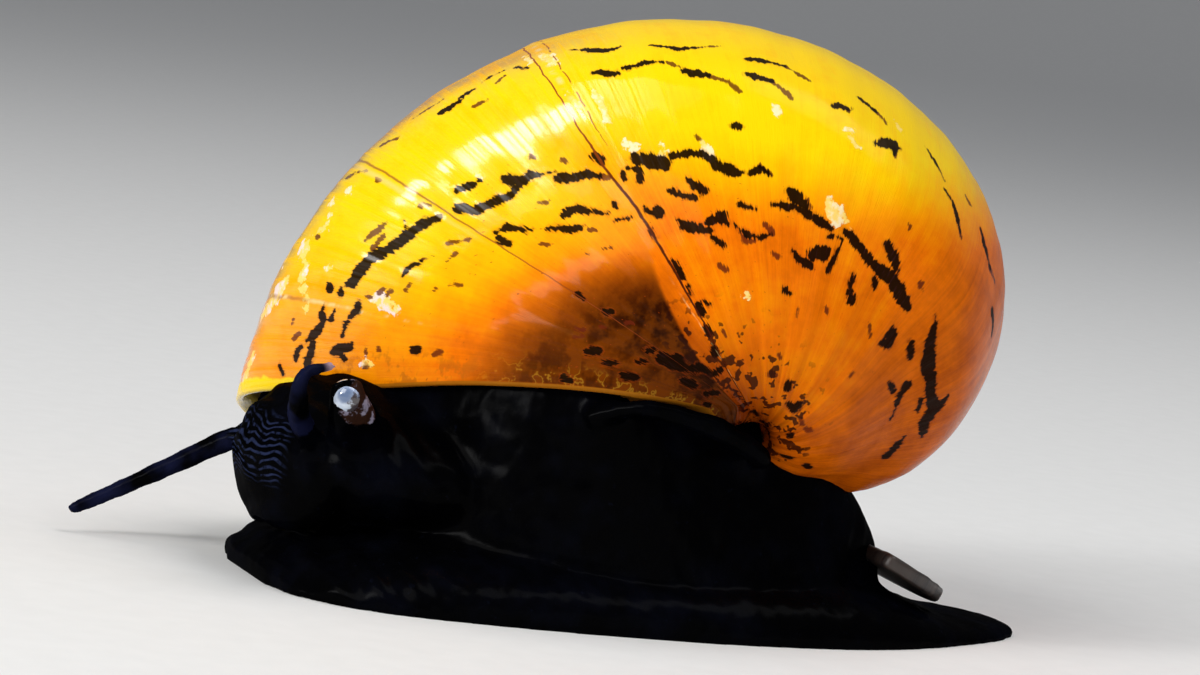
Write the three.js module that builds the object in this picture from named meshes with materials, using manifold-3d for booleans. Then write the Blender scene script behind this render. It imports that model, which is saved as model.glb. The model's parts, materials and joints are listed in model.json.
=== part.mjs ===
// A nerite snail at life size, crawling with its foot spread on the floor.
// Millimetres, +Z up. The head faces -Y, the animal's left side is +X, and the origin
// is on the floor under the middle of the foot.
import * as THREE from "three";
import { ConvexGeometry } from "three/addons/geometries/ConvexGeometry.js";
import { mergeVertices } from "three/addons/utils/BufferGeometryUtils.js";
import Module from "manifold-3d";

const wasm = await Module();
wasm.setup();

const degrees = Math.PI / 180;
const gap = 0.3; // left between neighbouring pieces

// Shell. Its outline grows as it turns round the axis, which runs from the apex, to the
// animal's right and rear, down to the base on the left. Away from the axis all of the
// outline grows at one rate. Along the axis it grows that fast only beside the apex, and
// slowly elsewhere, which gives the globe with its low spire.
const apex = new THREE.Vector3(-7.38, 10.72, 11.73);
const axisToRear = 34.3 * degrees; // the apex end of the axis is turned from -X towards +Y
const axisRise = 17 * degrees; // and lifted above the horizontal
const lipBelowLevel = 11.6 * degrees; // the front of the lip dips this far under the axis
const outwardGrowth = 0.319; // for each radian of turn
const baseGrowth = 0.053; // along the axis, at the base
const growthBend = 0.12; // how close to the apex the slow growth starts
const innerEdge = 0.6; // how near the outline comes to the axis

// The whorl's outline at the lip, as [distance from the axis, distance along it from the
// apex]: from the suture over the shoulder and the keel to the base and the inner lip.
const whorlOutline = [
  [1.62, 2.0],
  [5.05, 2.4],
  [9.59, 3.7],
  [13.93, 6.23],
  [17.16, 9.45],
  [18.37, 12.67],
  [17.56, 16.09],
  [12.8, 18.07],
  [9.25, 19.75],
  [5.05, 20.56],
  [1.82, 19.71],
  [innerEdge, 16.09],
  [innerEdge, 9.05],
  [innerEdge, 4.53],
];
const outlineLength = 21.6; // along the axis
const outlineSteps = 48;
const halfTurnSteps = [26, 16, 10]; // from the lip inwards; the oldest shell is worn off
const columella = { radius: 0.75, from: 3.4, to: 17.1 }; // the pillar round the axis

// The mouth is flat. Its plane passes through the outline's widest point.
const mouthKeel = new THREE.Vector3(18.5, 0, 13.45);
const mouthLean = 34.2 * degrees; // the left side is lifted
const mouthPitch = 7.1 * degrees; // the front is lifted
const mouthReach = 69 * degrees; // how far the outline is carried on, or cut back, to meet it
const mouthNormal = new THREE.Vector3(Math.tan(mouthPitch), 1, Math.tan(mouthLean)).normalize();
const mouthDepth = 30 * degrees; // how far back the open part of the mouth is hollow
const hollowCentre = [9.8, 12.0];
const hollowShare = 0.93; // the hollow's outline against the whorl's: a wall of 0.6 mm
const deckWidth = 4.4; // the flat shelf that the inner lip spreads over the mouth

// Foot: [y, half width, height] from front to tail.
const footStations = [
  [-12.3, 2.4, 0.5],
  [-11.6, 4.6, 1.1],
  [-9.4, 6.4, 1.8],
  [-5.0, 7.3, 2.3],
  [0.5, 7.5, 2.6],
  [5.0, 6.9, 2.4],
  [7.6, 6.1, 2.0],
  [9.6, 5.1, 1.2],
  [11.4, 3.9, 0.65],
  [13.2, 2.5, 0.5],
  [14.4, 1.1, 0.35],
];
const footSteps = 44;
const footFullness = 0.8; // below 1 the foot's back is rounder than an ellipse
const footJoints = [-5.4, 5.2]; // y of the cuts between its front, middle and rear

// Body between the foot and the mouth of the shell: an oval on the foot's back, and
// points under the last whorl, where the flesh swells up to the shell.
const bodyOval = { x: 0.2, y: 0.4, z: 1, halfWidth: 6.3, halfLength: 8.8 };
const bodyShare = 0.9; // of the mouth's width, at the top
const underShell = [
  [5.6, 1.2, 7.4],
  [5.4, 3.6, 6.2],
  [4.2, 6.2, 5.0],
  [2.6, 8.0, 4.4],
  [0.0, 8.9, 4.2],
  [-3.6, 9.0, 4.2],
  [-5.6, 7.6, 4.2],
];

// Head, neck and snout: [y, z, half width, half thickness] along the middle line.
const headStations = [
  [-3.6, 3.8, 3.4, 1.4],
  [-7.0, 4.2, 4.2, 1.9],
  [-9.5, 4.3, 4.0, 2.05],
  [-10.85, 3.95, 3.5, 1.72],
  [-11.25, 3.0, 3.1, 1.2],
  [-11.35, 2.2, 2.7, 0.8],
  [-11.3, 1.6, 1.9, 0.4],
];
const headSteps = 48;
const headSides = 24;
const headRoll = 12 * degrees; // the head leans with the mouth of the shell
const foldHeight = 0.09; // of the folds that ring the neck and snout
const foldCount = 10;
const neckJoint = -7.2; // y of the cut between body and head
const snoutJoint = -10.6; // y of the cut between head and snout
const mouthSlit = { width: 2.6, height: 0.3, depth: 0.9, at: [0, -12.45, 2.3] };
const lipRoll = { width: 3.0, height: 0.5, depth: 0.5, rise: 0.42, set: 0.75 };

// Tentacles: a path from root to tip, and the points that part it into lengths.
const tentacles = {
  left: {
    path: [
      [2.5, -11.2, 4.5],
      [3.54, -12.12, 5.48],
      [4.58, -12.53, 6.15],
      [4.97, -12.68, 6.72],
      [4.8, -12.39, 7.1],
      [4.52, -11.59, 7.28],
    ],
    parts: ["base", "tip"],
  },
  right: {
    path: [
      [-2.6, -10.9, 4.6],
      [-4.0, -12.4, 3.57],
      [-4.5, -13.5, 2.81],
      [-4.8, -14.5, 2.17],
      [-5.2, -15.6, 1.45],
      [-5.5, -16.7, 0.8],
    ],
    parts: ["base", "middle", "tip"],
  },
};
const tentacleRoot = 0.37; // radii
const tentacleTip = 0.2;
const tentacleSteps = 30;
const tentacleSides = 12;

// Eyes: each sits in a cup on a short stalk outside the root of its tentacle.
const eyes = {
  left: { foot: [2.7, -9.7, 4.8], eye: [4.33, -10.93, 6.37] },
  right: { foot: [-2.9, -9.9, 3.6], eye: [-4.95, -10.75, 3.15] },
};
const eyeRadius = 0.54;
const stalkRoot = 0.92;
const stalkTop = 0.58;

// Operculum: a thin half-moon plate carried on the back of the foot behind the body.
const operculum = { width: 8.0, depth: 3.9, thickness: 0.5, corner: 0.8 };
const operculumAt = [0.6, 7.6, 2.52]; // middle of its straight front edge, underside
const operculumTilt = -24 * degrees;

// Colours.
const finishes = {
  shell: { color: 0xe89412, roughness: 0.22, metalness: 0 },
  flesh: { color: 0x14151b, roughness: 0.45, metalness: 0 },
  eye: { color: 0xaebfd2, roughness: 0.12, metalness: 0 },
  operculum: { color: 0x8a7f72, roughness: 0.5, metalness: 0 },
};

// Turns a closed geometry into a solid that can be joined and cut.
function solid(geometry) {
  const bare = geometry.clone();
  bare.deleteAttribute("normal");
  bare.deleteAttribute("uv");
  const merged = mergeVertices(bare, 1e-5);
  return new wasm.Manifold(
    new wasm.Mesh({
      numProp: 3,
      vertProperties: merged.attributes.position.array,
      triVerts: new Uint32Array(merged.index.array),
    }),
  );
}

// The largest closed body of a solid.
function largest(body) {
  return body.decompose().sort((a, b) => b.volume() - a.volume())[0];
}

const joined = (first, ...others) => others.reduce((sum, next) => sum.add(next), first);

// The skin drawn tight round some points.
const drawnTight = (points) => solid(new ConvexGeometry(points));

// Closes a row of rings, each the same number of points, into one skin with fanned ends.
function loft(rings) {
  const count = rings[0].length;
  const points = rings.flat();
  const faces = [];
  for (let i = 0; i + 1 < rings.length; i++) {
    for (let j = 0; j < count; j++) {
      const a = i * count + j;
      const b = i * count + ((j + 1) % count);
      faces.push(a, b, b + count, a, b + count, a + count);
    }
  }
  for (const end of [0, rings.length - 1]) {
    const middle = new THREE.Vector3();
    rings[end].forEach((p) => middle.addScaledVector(p, 1 / count));
    points.push(middle);
    for (let j = 0; j < count; j++) {
      const a = end * count + j;
      const b = end * count + ((j + 1) % count);
      faces.push(...(end ? [a, b, points.length - 1] : [b, a, points.length - 1]));
    }
  }
  const geometry = new THREE.BufferGeometry().setFromPoints(points);
  geometry.setIndex(faces);
  const made = solid(geometry);
  if (made.volume() > 0) return made;
  geometry.setIndex(faces.reverse());
  return solid(geometry);
}

// Smooth values between stations, at a share of the way from the first to the last.
function between(stations, share) {
  const at = share * (stations.length - 1);
  const i = Math.min(Math.floor(at), stations.length - 2);
  const t = at - i;
  const pick = (n) => stations[Math.min(Math.max(n, 0), stations.length - 1)];
  return stations[0].map((_, k) => {
    const [p0, p1, p2, p3] = [pick(i - 1)[k], pick(i)[k], pick(i + 1)[k], pick(i + 2)[k]];
    const slope = [(p2 - p0) / 2, (p3 - p1) / 2];
    const bend = [3 * (p2 - p1) - 2 * slope[0] - slope[1], 2 * (p1 - p2) + slope[0] + slope[1]];
    return p1 + t * (slope[0] + t * (bend[0] + t * bend[1]));
  });
}

const shares = (steps) => Array.from({ length: steps + 1 }, (_, i) => i / steps);

// Shell

// The shell's own axes: X from the axis to the front of the lip, Y the way the mouth
// faces, Z along the axis from the apex to the base.
function shellPlace() {
  const toBase = new THREE.Vector3(
    Math.cos(axisToRear) * Math.cos(axisRise),
    -Math.sin(axisToRear) * Math.cos(axisRise),
    -Math.sin(axisRise),
  );
  const up = new THREE.Vector3(0, 0, 1).projectOnPlane(toBase).normalize();
  const front = new THREE.Vector3().crossVectors(toBase, up);
  const out = front.multiplyScalar(Math.cos(lipBelowLevel));
  out.addScaledVector(up, -Math.sin(lipBelowLevel));
  const onward = new THREE.Vector3().crossVectors(toBase, out);
  return new THREE.Matrix4().makeBasis(out, onward, toBase).setPosition(apex);
}

const shellMatrix = shellPlace();

function outlinePoints(control) {
  const curve = new THREE.CatmullRomCurve3(
    control.map(([r, z]) => new THREE.Vector3(r, 0, z)),
    true,
    "catmullrom",
    0.5,
  );
  return curve.getPoints(outlineSteps).slice(0, -1);
}

// A point of the outline carried round the axis to an angle from the lip, negative for
// older shell, in the shell's own axes.
function carried(p, angle) {
  const slow = (outwardGrowth - baseGrowth) * (p.z / outlineLength) ** growthBend;
  const out = p.x * Math.exp(outwardGrowth * angle);
  const along = p.z * Math.exp((outwardGrowth - slow) * angle);
  return new THREE.Vector3(out * Math.cos(angle), out * Math.sin(angle), along);
}

// The angle at which a point of the outline meets the plane of the mouth.
function mouthAngle(p) {
  const plane = new THREE.Plane().setFromNormalAndCoplanarPoint(mouthNormal, mouthKeel);
  let [low, high] = [-mouthReach, mouthReach];
  for (let i = 0; i < 24; i++) {
    const angle = (low + high) / 2;
    if (plane.distanceToPoint(carried(p, angle)) < 0) low = angle;
    else high = angle;
  }
  return (low + high) / 2;
}

// The solid that an outline sweeps between two angles, each a function of the point.
function whorl(points, from, to, steps, place = shellMatrix) {
  const starts = points.map(from);
  const ends = points.map(to);
  const rings = shares(steps).map((s) =>
    points.map((p, i) => carried(p, starts[i] + (ends[i] - starts[i]) * s).applyMatrix4(place)),
  );
  return loft(rings);
}

// The outline moved outwards from its centre by a distance, with room left round the axis.
function grown(points, by) {
  const [r, z] = hollowCentre;
  return points.map((p) => {
    const out = new THREE.Vector3(p.x - r, 0, p.z - z);
    out.setLength(out.length() + by);
    return new THREE.Vector3(Math.max(out.x + r, innerEdge - by), 0, out.z + z);
  });
}

const outline = outlinePoints(whorlOutline);

// The outline drawn in towards its centre, and kept off the axis by the width of the shelf.
function narrowed(share) {
  const [r, z] = hollowCentre;
  return outline.map((p) => {
    const out = Math.max(r + (p.x - r) * share, deckWidth);
    return new THREE.Vector3(out, 0, z + (p.z - z) * share);
  });
}

function pillar(by, place) {
  const { radius, from, to } = columella;
  const length = to - from - 2 * radius;
  const capsule = new THREE.CapsuleGeometry(radius + by, length, 4, 16).rotateX(Math.PI / 2);
  return solid(capsule.translate(0, 0, (from + to) / 2).applyMatrix4(place));
}

// The whorls with no hollow, grown outwards by a distance.
function solidShell(by, place) {
  const points = by ? grown(outline, by) : outline;
  const mouth = (p) => mouthAngle(p) + by / Math.max(p.x, 1);
  const halves = halfTurnSteps.map((steps, i) =>
    whorl(points, i ? () => -i * Math.PI : mouth, () => -(i + 1) * Math.PI, steps, place),
  );
  return joined(pillar(by, place), ...halves);
}

// The open part of the mouth, made smaller by a clearance, from beyond the lip inwards.
function mouthHollow(clearance, beyond, depth) {
  const inner = narrowed(hollowShare);
  const points = clearance ? grown(inner, -clearance) : inner;
  return whorl(points, (p) => mouthAngle(p) + beyond, (p) => mouthAngle(p) - depth, 14);
}

const fullShell = largest(solidShell(0, shellMatrix));
const beyond = 10 * degrees;
const shell = largest(fullShell.subtract(mouthHollow(0, beyond, mouthDepth)));
const mantle = largest(fullShell.intersect(mouthHollow(gap, beyond, mouthDepth - 2 * degrees)));

// What the flesh outside keeps clear of: the shell grown all round, and moved down.
const belowMouth = mouthNormal.clone().multiplyScalar(1.2 * gap);
const lowered = shellMatrix.clone().multiply(new THREE.Matrix4().makeTranslation(belowMouth));
const shellRoom = joined(solidShell(gap, shellMatrix), solidShell(0, lowered));

// Flesh

// One ring of the foot: a round back over a flat sole.
function footRing([y, half, height], by) {
  const back = 20;
  const sole = 8;
  const ring = [];
  for (let i = 0; i <= back; i++) {
    const a = (Math.PI * i) / back;
    const x = Math.sign(Math.cos(a)) * Math.abs(Math.cos(a)) ** footFullness;
    ring.push(new THREE.Vector3((half + by) * x, y, (height + by) * Math.sin(a) ** footFullness));
  }
  for (let i = 1; i < sole; i++) {
    ring.push(new THREE.Vector3((half + by) * ((2 * i) / sole - 1), y, 0));
  }
  return ring;
}

function foot(by) {
  const stations = footStations.map((s, i) => {
    const end = i === 0 ? -by : i === footStations.length - 1 ? by : 0;
    return [s[0] + end, s[1], s[2]];
  });
  return loft(shares(footSteps).map((s) => footRing(between(stations, s), by)));
}

// The body, drawn tight between the oval and the mouth, and made larger by a distance.
function bodyColumn(by) {
  const { x, y, z, halfWidth, halfLength } = bodyOval;
  const top = narrowed(bodyShare).map((p) => carried(p, mouthAngle(p)).applyMatrix4(shellMatrix));
  const base = shares(40).map((turn) => {
    const a = 2 * Math.PI * turn;
    return new THREE.Vector3(x + halfWidth * Math.cos(a), y + halfLength * Math.sin(a), z);
  });
  const swell = underShell.map((p) => new THREE.Vector3(...p));
  const points = [...top, ...swell, ...base];
  if (!by) return drawnTight(points);
  const steps = [-by, by].flatMap((d) => [[d, 0, 0], [0, d, 0], [0, 0, d]]);
  const spread = points.flatMap((p) => steps.map((d) => p.clone().add(new THREE.Vector3(...d))));
  return drawnTight(spread);
}

// Rings across the middle line of the head, with folds round it, grown by a distance.
function headRings(by) {
  const middle = (s) => {
    const [y, z] = between(headStations, s);
    return new THREE.Vector3(0, y, z);
  };
  const right = new THREE.Vector3(1, 0, 0);
  return shares(headSteps).map((s) => {
    const [, , half, thick] = between(headStations, s);
    const ahead = middle(Math.min(s + 0.01, 1)).sub(middle(Math.max(s - 0.01, 0))).normalize();
    const over = new THREE.Vector3().crossVectors(right, ahead).normalize();
    const across = right.clone().multiplyScalar(Math.cos(headRoll)).addScaledVector(over, Math.sin(headRoll));
    const up = over.multiplyScalar(Math.cos(headRoll)).addScaledVector(right, -Math.sin(headRoll));
    const fold = foldHeight * Math.cos(2 * Math.PI * foldCount * s);
    return shares(headSides)
      .slice(0, -1)
      .map((turn) => {
        const a = 2 * Math.PI * turn;
        return middle(s)
          .addScaledVector(across, (half + fold + by) * Math.cos(a))
          .addScaledVector(up, (thick + fold + by) * Math.sin(a));
      });
  });
}

function ball(radii, at) {
  const sphere = new THREE.SphereGeometry(1, 18, 12);
  return solid(sphere.scale(...radii).translate(...at));
}

// The operculum, made larger all round by a distance.
function operculumPlate(by) {
  const { width, depth, thickness, corner } = operculum;
  const halfMoon = new THREE.Shape();
  halfMoon.moveTo(corner - width / 2, 0);
  halfMoon.lineTo(width / 2 - corner, 0);
  halfMoon.quadraticCurveTo(width / 2, 0, width / 2, corner);
  halfMoon.bezierCurveTo(width / 2, depth * 0.8, width / 4, depth, 0, depth);
  halfMoon.bezierCurveTo(-width / 4, depth, -width / 2, depth * 0.8, -width / 2, corner);
  halfMoon.quadraticCurveTo(-width / 2, 0, corner - width / 2, 0);
  const flat = new THREE.ExtrudeGeometry(halfMoon, {
    depth: thickness,
    bevelEnabled: by > 0,
    bevelThickness: by,
    bevelSize: by,
    bevelSegments: 1,
    curveSegments: 10,
  });
  flat.rotateX(operculumTilt);
  return solid(flat.translate(...operculumAt));
}

// The parts of a body on either side of a thin cut across Y, front part first.
function parted(body, y) {
  const size = 60;
  const half = (sign) =>
    solid(new THREE.BoxGeometry(size, size, size).translate(0, y + sign * (size / 2 - gap / 2), 0));
  return [largest(body.subtract(half(1))), largest(body.subtract(half(-1)))];
}

const footWhole = foot(0);
const [footFront, footBehind] = parted(footWhole, footJoints[0]);
const [footMiddle, footRear] = parted(footBehind, footJoints[1]);
const footRoom = foot(gap);

const plate = operculumPlate(0);
const roomForOthers = joined(shellRoom, footRoom, operculumPlate(gap));
const upperFlesh = joined(bodyColumn(0), loft(headRings(0))).subtract(roomForOthers);
const [headAhead, body] = parted(upperFlesh, neckJoint);
const [snoutPlain, head] = parted(headAhead, snoutJoint);
const lips = [-1, 1].map((side) => {
  const [x, y, z] = mouthSlit.at;
  const radii = [lipRoll.width / 2, lipRoll.depth, lipRoll.height / 2];
  return ball(radii, [x, y + lipRoll.set, z + side * lipRoll.rise]);
});
const slit = ball([mouthSlit.width / 2, mouthSlit.depth, mouthSlit.height / 2], mouthSlit.at);
const snout = largest(joined(snoutPlain, ...lips).subtract(slit));
const headRoom = joined(drawnTight(headRings(gap).flat()), bodyColumn(gap));

// A tapered round arm along a path, between two shares of its length.
function arm(path, radii, from, to, steps) {
  const steady = new THREE.Vector3(0.3, 0.2, 1);
  const curve = new THREE.CatmullRomCurve3(path.map((p) => new THREE.Vector3(...p)));
  const rings = shares(steps).map((s) => {
    const at = from + (to - from) * s;
    const ahead = curve.getTangentAt(at);
    const side = new THREE.Vector3().crossVectors(ahead, steady).normalize();
    const over = new THREE.Vector3().crossVectors(side, ahead);
    const radius = radii[0] + (radii[1] - radii[0]) * at;
    return shares(tentacleSides)
      .slice(0, -1)
      .map((turn) => {
        const a = 2 * Math.PI * turn;
        return curve
          .getPointAt(at)
          .addScaledVector(side, radius * Math.cos(a))
          .addScaledVector(over, radius * Math.sin(a));
      });
  });
  return loft(rings);
}

function tentacleParts({ path, parts }) {
  const radii = [tentacleRoot, tentacleTip];
  const points = path.map((p) => new THREE.Vector3(...p));
  const cut = gap / new THREE.CatmullRomCurve3(points).getLength();
  const steps = tentacleSteps / parts.length;
  return parts.map((name, i) => {
    const from = i / parts.length + (i ? cut / 2 : 0);
    const to = (i + 1) / parts.length - (i + 1 < parts.length ? cut / 2 : 0);
    const part = arm(path, radii, from, to, steps);
    return [name, largest(i ? part : part.subtract(headRoom))];
  });
}

function eyeParts({ foot: root, eye }) {
  const round = ball([eyeRadius, eyeRadius, eyeRadius], eye);
  const cup = ball([eyeRadius + gap, eyeRadius + gap, eyeRadius + gap], eye);
  const stalk = arm([root, eye], [stalkRoot, stalkTop], 0, 0.96, 6);
  return [largest(stalk.subtract(cup).subtract(headRoom)), round];
}

// Model

const model = new THREE.Group();

function addMesh(name, body, finish) {
  const { vertProperties, triVerts } = body.getMesh();
  const geometry = new THREE.BufferGeometry();
  geometry.setAttribute("position", new THREE.BufferAttribute(vertProperties, 3));
  geometry.setIndex(new THREE.BufferAttribute(triVerts, 1));
  geometry.computeVertexNormals();
  const mesh = new THREE.Mesh(geometry, new THREE.MeshStandardMaterial(finish));
  mesh.name = name;
  model.add(mesh);
}

addMesh("shell", shell, finishes.shell);
addMesh("mantle", mantle, finishes.flesh);
addMesh("body", body, finishes.flesh);
addMesh("head", head, finishes.flesh);
addMesh("snout", snout, finishes.flesh);
addMesh("foot_front", footFront, finishes.flesh);
addMesh("foot_middle", footMiddle, finishes.flesh);
addMesh("foot_rear", footRear, finishes.flesh);
addMesh("operculum", plate, finishes.operculum);
for (const [side, tentacle] of Object.entries(tentacles)) {
  for (const [length, part] of tentacleParts(tentacle)) {
    addMesh(`tentacle_${side}_${length}`, part, finishes.flesh);
  }
}
for (const [side, places] of Object.entries(eyes)) {
  const [stalk, eye] = eyeParts(places);
  addMesh(`eyestalk_${side}`, stalk, finishes.flesh);
  addMesh(`eye_${side}`, eye, finishes.eye);
}

export default model;
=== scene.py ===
# %% [markdown]
# # A nerite snail at life size
#
# Nerites are small round snails of shores and streams. This one has a glossy amber shell
# marked with dark dashes, and a black, wet body that creeps on a broad foot. It stands
# still: the camera looks at its left side, a little from the front.
#
# Every length below is in millimetres until the last step of each piece, which brings it
# to metres. The head faces -Y, the animal's left is +X, and the floor is at z = 0.

# %% Load the frame
import json
import math
import random

import bmesh
import bpy
import numpy as np
from mathutils import Matrix, Vector, noise
from mathutils.bvhtree import BVHTree

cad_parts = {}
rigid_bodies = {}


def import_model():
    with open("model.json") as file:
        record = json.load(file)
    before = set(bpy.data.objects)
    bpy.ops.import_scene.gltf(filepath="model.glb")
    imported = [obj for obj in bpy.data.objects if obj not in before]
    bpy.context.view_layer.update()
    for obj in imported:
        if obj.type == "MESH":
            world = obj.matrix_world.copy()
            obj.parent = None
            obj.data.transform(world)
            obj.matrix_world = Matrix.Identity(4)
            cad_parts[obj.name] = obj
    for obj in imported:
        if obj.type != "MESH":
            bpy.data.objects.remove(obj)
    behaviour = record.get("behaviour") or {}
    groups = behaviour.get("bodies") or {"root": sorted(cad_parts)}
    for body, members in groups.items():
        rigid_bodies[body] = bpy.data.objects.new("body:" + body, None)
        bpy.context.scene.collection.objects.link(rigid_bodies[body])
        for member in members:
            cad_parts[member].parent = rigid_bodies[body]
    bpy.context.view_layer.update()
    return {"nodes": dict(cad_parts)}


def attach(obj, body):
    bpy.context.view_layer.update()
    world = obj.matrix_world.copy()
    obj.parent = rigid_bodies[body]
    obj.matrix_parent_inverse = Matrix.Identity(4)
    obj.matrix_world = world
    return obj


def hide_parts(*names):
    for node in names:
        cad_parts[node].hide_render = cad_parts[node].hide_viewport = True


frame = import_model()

scene = bpy.context.scene
MM = 0.001
print("solids in the frame:", sorted(frame["nodes"]))

# %% [markdown]
# ## The camera comes first
#
# The dark dashes of the shell are placed later by where they stand in the picture, so
# the camera has to be known before the shell is painted. It is 150 mm away, 5 degrees
# above level and 20 degrees towards the head from a square look at the left side, and it
# is held with a slight roll. A lens is chosen so that one millimetre at that distance is
# 30.5 pixels of a picture 1200 pixels wide.

# %% Camera
PICTURE = (1200, 675)
PIXELS_PER_MM = 30.5
DISTANCE = 150
GROUND_PIXEL = (604.5, 599.4)  # where the middle of the sole stands in the picture

turn, rise, roll = math.radians(20), math.radians(5), math.radians(7.47)
back = Vector(
    (math.cos(turn) * math.cos(rise), -math.sin(turn) * math.cos(rise), math.sin(rise))
)
level = Vector((math.sin(turn), math.cos(turn), 0))
upright = back.cross(level)
picture_right = math.cos(roll) * level + math.sin(roll) * upright
picture_up = math.cos(roll) * upright - math.sin(roll) * level


def off_centre(pixel):
    """How far a pixel is right of the picture's middle and above it, in millimetres."""
    right = (pixel[0] - PICTURE[0] / 2) / PIXELS_PER_MM
    above = (PICTURE[1] / 2 - pixel[1]) / PIXELS_PER_MM
    return right, above


ground_right, ground_above = off_centre(GROUND_PIXEL)
eye_point = back * DISTANCE - picture_right * ground_right - picture_up * ground_above

lens = bpy.data.cameras.new("camera")
lens.sensor_width = 36
lens.lens = 36 * DISTANCE * PIXELS_PER_MM / PICTURE[0]
lens.clip_start, lens.clip_end = 0.01, 20
camera = bpy.data.objects.new("camera", lens)
scene.collection.objects.link(camera)
turned = Matrix((picture_right, picture_up, back)).transposed()
camera.matrix_world = Matrix.Translation(eye_point * MM) @ turned.to_4x4()
scene.camera = camera
print("camera height:", round(eye_point.z, 1), "mm, lens:", round(lens.lens, 1), "mm")

# %% [markdown]
# ## Floor and light
#
# A plain pale floor that turns up far behind, as a paper sweep does in a photographer's
# studio, so that no edge shows. It could be a bent sheet, but a short line spun round the
# upright axis looks the same from every side.

# %% Floor
floor_mesh = bmesh.new()
SWEEP = [(0, 0), (0.5, 0), (0.9, 0), (1.15, 0.03), (1.35, 0.13), (1.5, 0.32), (1.6, 0.65)]  # metres
points = [floor_mesh.verts.new((r, 0, z)) for r, z in SWEEP]
lines = [floor_mesh.edges.new(pair) for pair in zip(points, points[1:])]
bmesh.ops.spin(
    floor_mesh,
    geom=points + lines,
    cent=(0, 0, 0),
    axis=(0, 0, 1),
    angle=2 * math.pi,
    steps=96,
    use_merge=True,
)
bmesh.ops.remove_doubles(floor_mesh, verts=floor_mesh.verts, dist=1e-5)
bmesh.ops.recalc_face_normals(floor_mesh, faces=floor_mesh.faces)
floor_data = bpy.data.meshes.new("floor")
floor_mesh.to_mesh(floor_data)
floor_mesh.free()
floor_data.shade_smooth()
floor = bpy.data.objects.new("floor", floor_data)
scene.collection.objects.link(floor)
print("floor:", len(floor_data.polygons), "faces")

# %% [markdown]
# A large soft light from above and the left does most of the lighting. A narrow strip in
# front is mirrored in the shell as its long pale highlight, so it leans the way that
# highlight runs, and a small one beside it gives the spark on the shoulder. One more
# rounds off the top, a weak one lifts the rear, and the wide pale world fills the shadows.


# %% Lights
def soft_light(name, place, target, sides, power, lean=0, colour=(1, 1, 1)):
    """A studio light with two side lengths, at a place, turned to a target, in millimetres.
    It leans by degrees about the line to the target."""
    lamp = bpy.data.lights.new(name, "AREA")
    lamp.shape = "RECTANGLE"
    lamp.size, lamp.size_y = sides[0] * MM, sides[1] * MM
    lamp.energy = power
    lamp.color = colour
    holder = bpy.data.objects.new(name, lamp)
    aim = (Vector(target) - Vector(place)).to_track_quat("-Z", "Y").to_matrix()
    aim = aim @ Matrix.Rotation(math.radians(lean), 3, "Z")
    holder.matrix_world = Matrix.Translation(Vector(place) * MM) @ aim.to_4x4()
    scene.collection.objects.link(holder)


soft_light("key", (148, -212, 240), (0, 0, 8), (190, 190), 0.50, colour=(1, 0.98, 0.95))
soft_light("strip", (98, -258, 104), (5, -5, 14), (116, 48), 0.36, lean=41)
soft_light("corner", (34, -282, 41), (4, -5, 14), (36, 22), 0.055, lean=30)
soft_light("top", (40, 120, 300), (0, 0, 10), (200, 200), 0.45)
soft_light("side", (320, 60, 90), (0, 0, 8), (200, 200), 0.08, colour=(0.94, 0.97, 1))

world = bpy.data.worlds.new("pale room")
world.use_nodes = True
world.node_tree.nodes["Background"].inputs["Color"].default_value = (0.93, 0.95, 1, 1)
world.node_tree.nodes["Background"].inputs["Strength"].default_value = 0.25
scene.world = world
scene.view_settings.view_transform = "Standard"
print("lights:", [lamp.name for lamp in bpy.data.lights])

# %% [markdown]
# ## Materials as arithmetic
#
# A node material is easier to read as a sum than as a web of wires. This class wraps one
# socket. Adding or multiplying two of them adds the Math node that does it, and `node`
# adds any other node. The helpers after it are the moves that every material repeats.


# %% A socket that can be reckoned with
class Wire:
    """A value, colour or vector on its way through a material's nodes."""

    def __init__(self, tree, socket=None):
        self.tree = tree
        self.socket = socket

    def node(self, kind, settings, sockets, output=0):
        """Adds a node: its settings first, then values or wires for its sockets."""
        made = self.tree.nodes.new(kind)
        for name, value in settings.items():
            if name == "stops":
                set_stops(made.color_ramp, value)
            else:
                setattr(made, name, value)
        for key, value in sockets.items():
            if isinstance(value, Wire):
                self.tree.links.new(value.socket, made.inputs[key])
            else:
                made.inputs[key].default_value = value
        return Wire(self.tree, made.outputs[output])

    def reckon(self, operation, *values):
        return self.node("ShaderNodeMath", {"operation": operation}, dict(enumerate(values)))

    def __add__(self, other):
        return self.reckon("ADD", self, other)

    def __radd__(self, other):
        return self.reckon("ADD", other, self)

    def __sub__(self, other):
        return self.reckon("SUBTRACT", self, other)

    def __rsub__(self, other):
        return self.reckon("SUBTRACT", other, self)

    def __mul__(self, other):
        return self.reckon("MULTIPLY", self, other)

    def __rmul__(self, other):
        return self.reckon("MULTIPLY", other, self)

    def most(self, other):
        return self.reckon("MAXIMUM", self, other)

    def size(self):
        return self.reckon("ABSOLUTE", self)

    def wave(self):
        return self.reckon("SINE", self)

    def rising(self, low, high):
        """0 up to low, 1 from high on, with a soft slope between; low may be the larger."""
        return self.node(
            "ShaderNodeMapRange",
            {"interpolation_type": "SMOOTHSTEP", "clamp": True},
            {0: self, 1: low, 2: high, 3: 0.0, 4: 1.0},
        )

    def near(self, middle, width):
        """1 at a middle value, falling softly to 0 at a width away from it."""
        return (self - middle).size().rising(width, 0.0)


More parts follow.
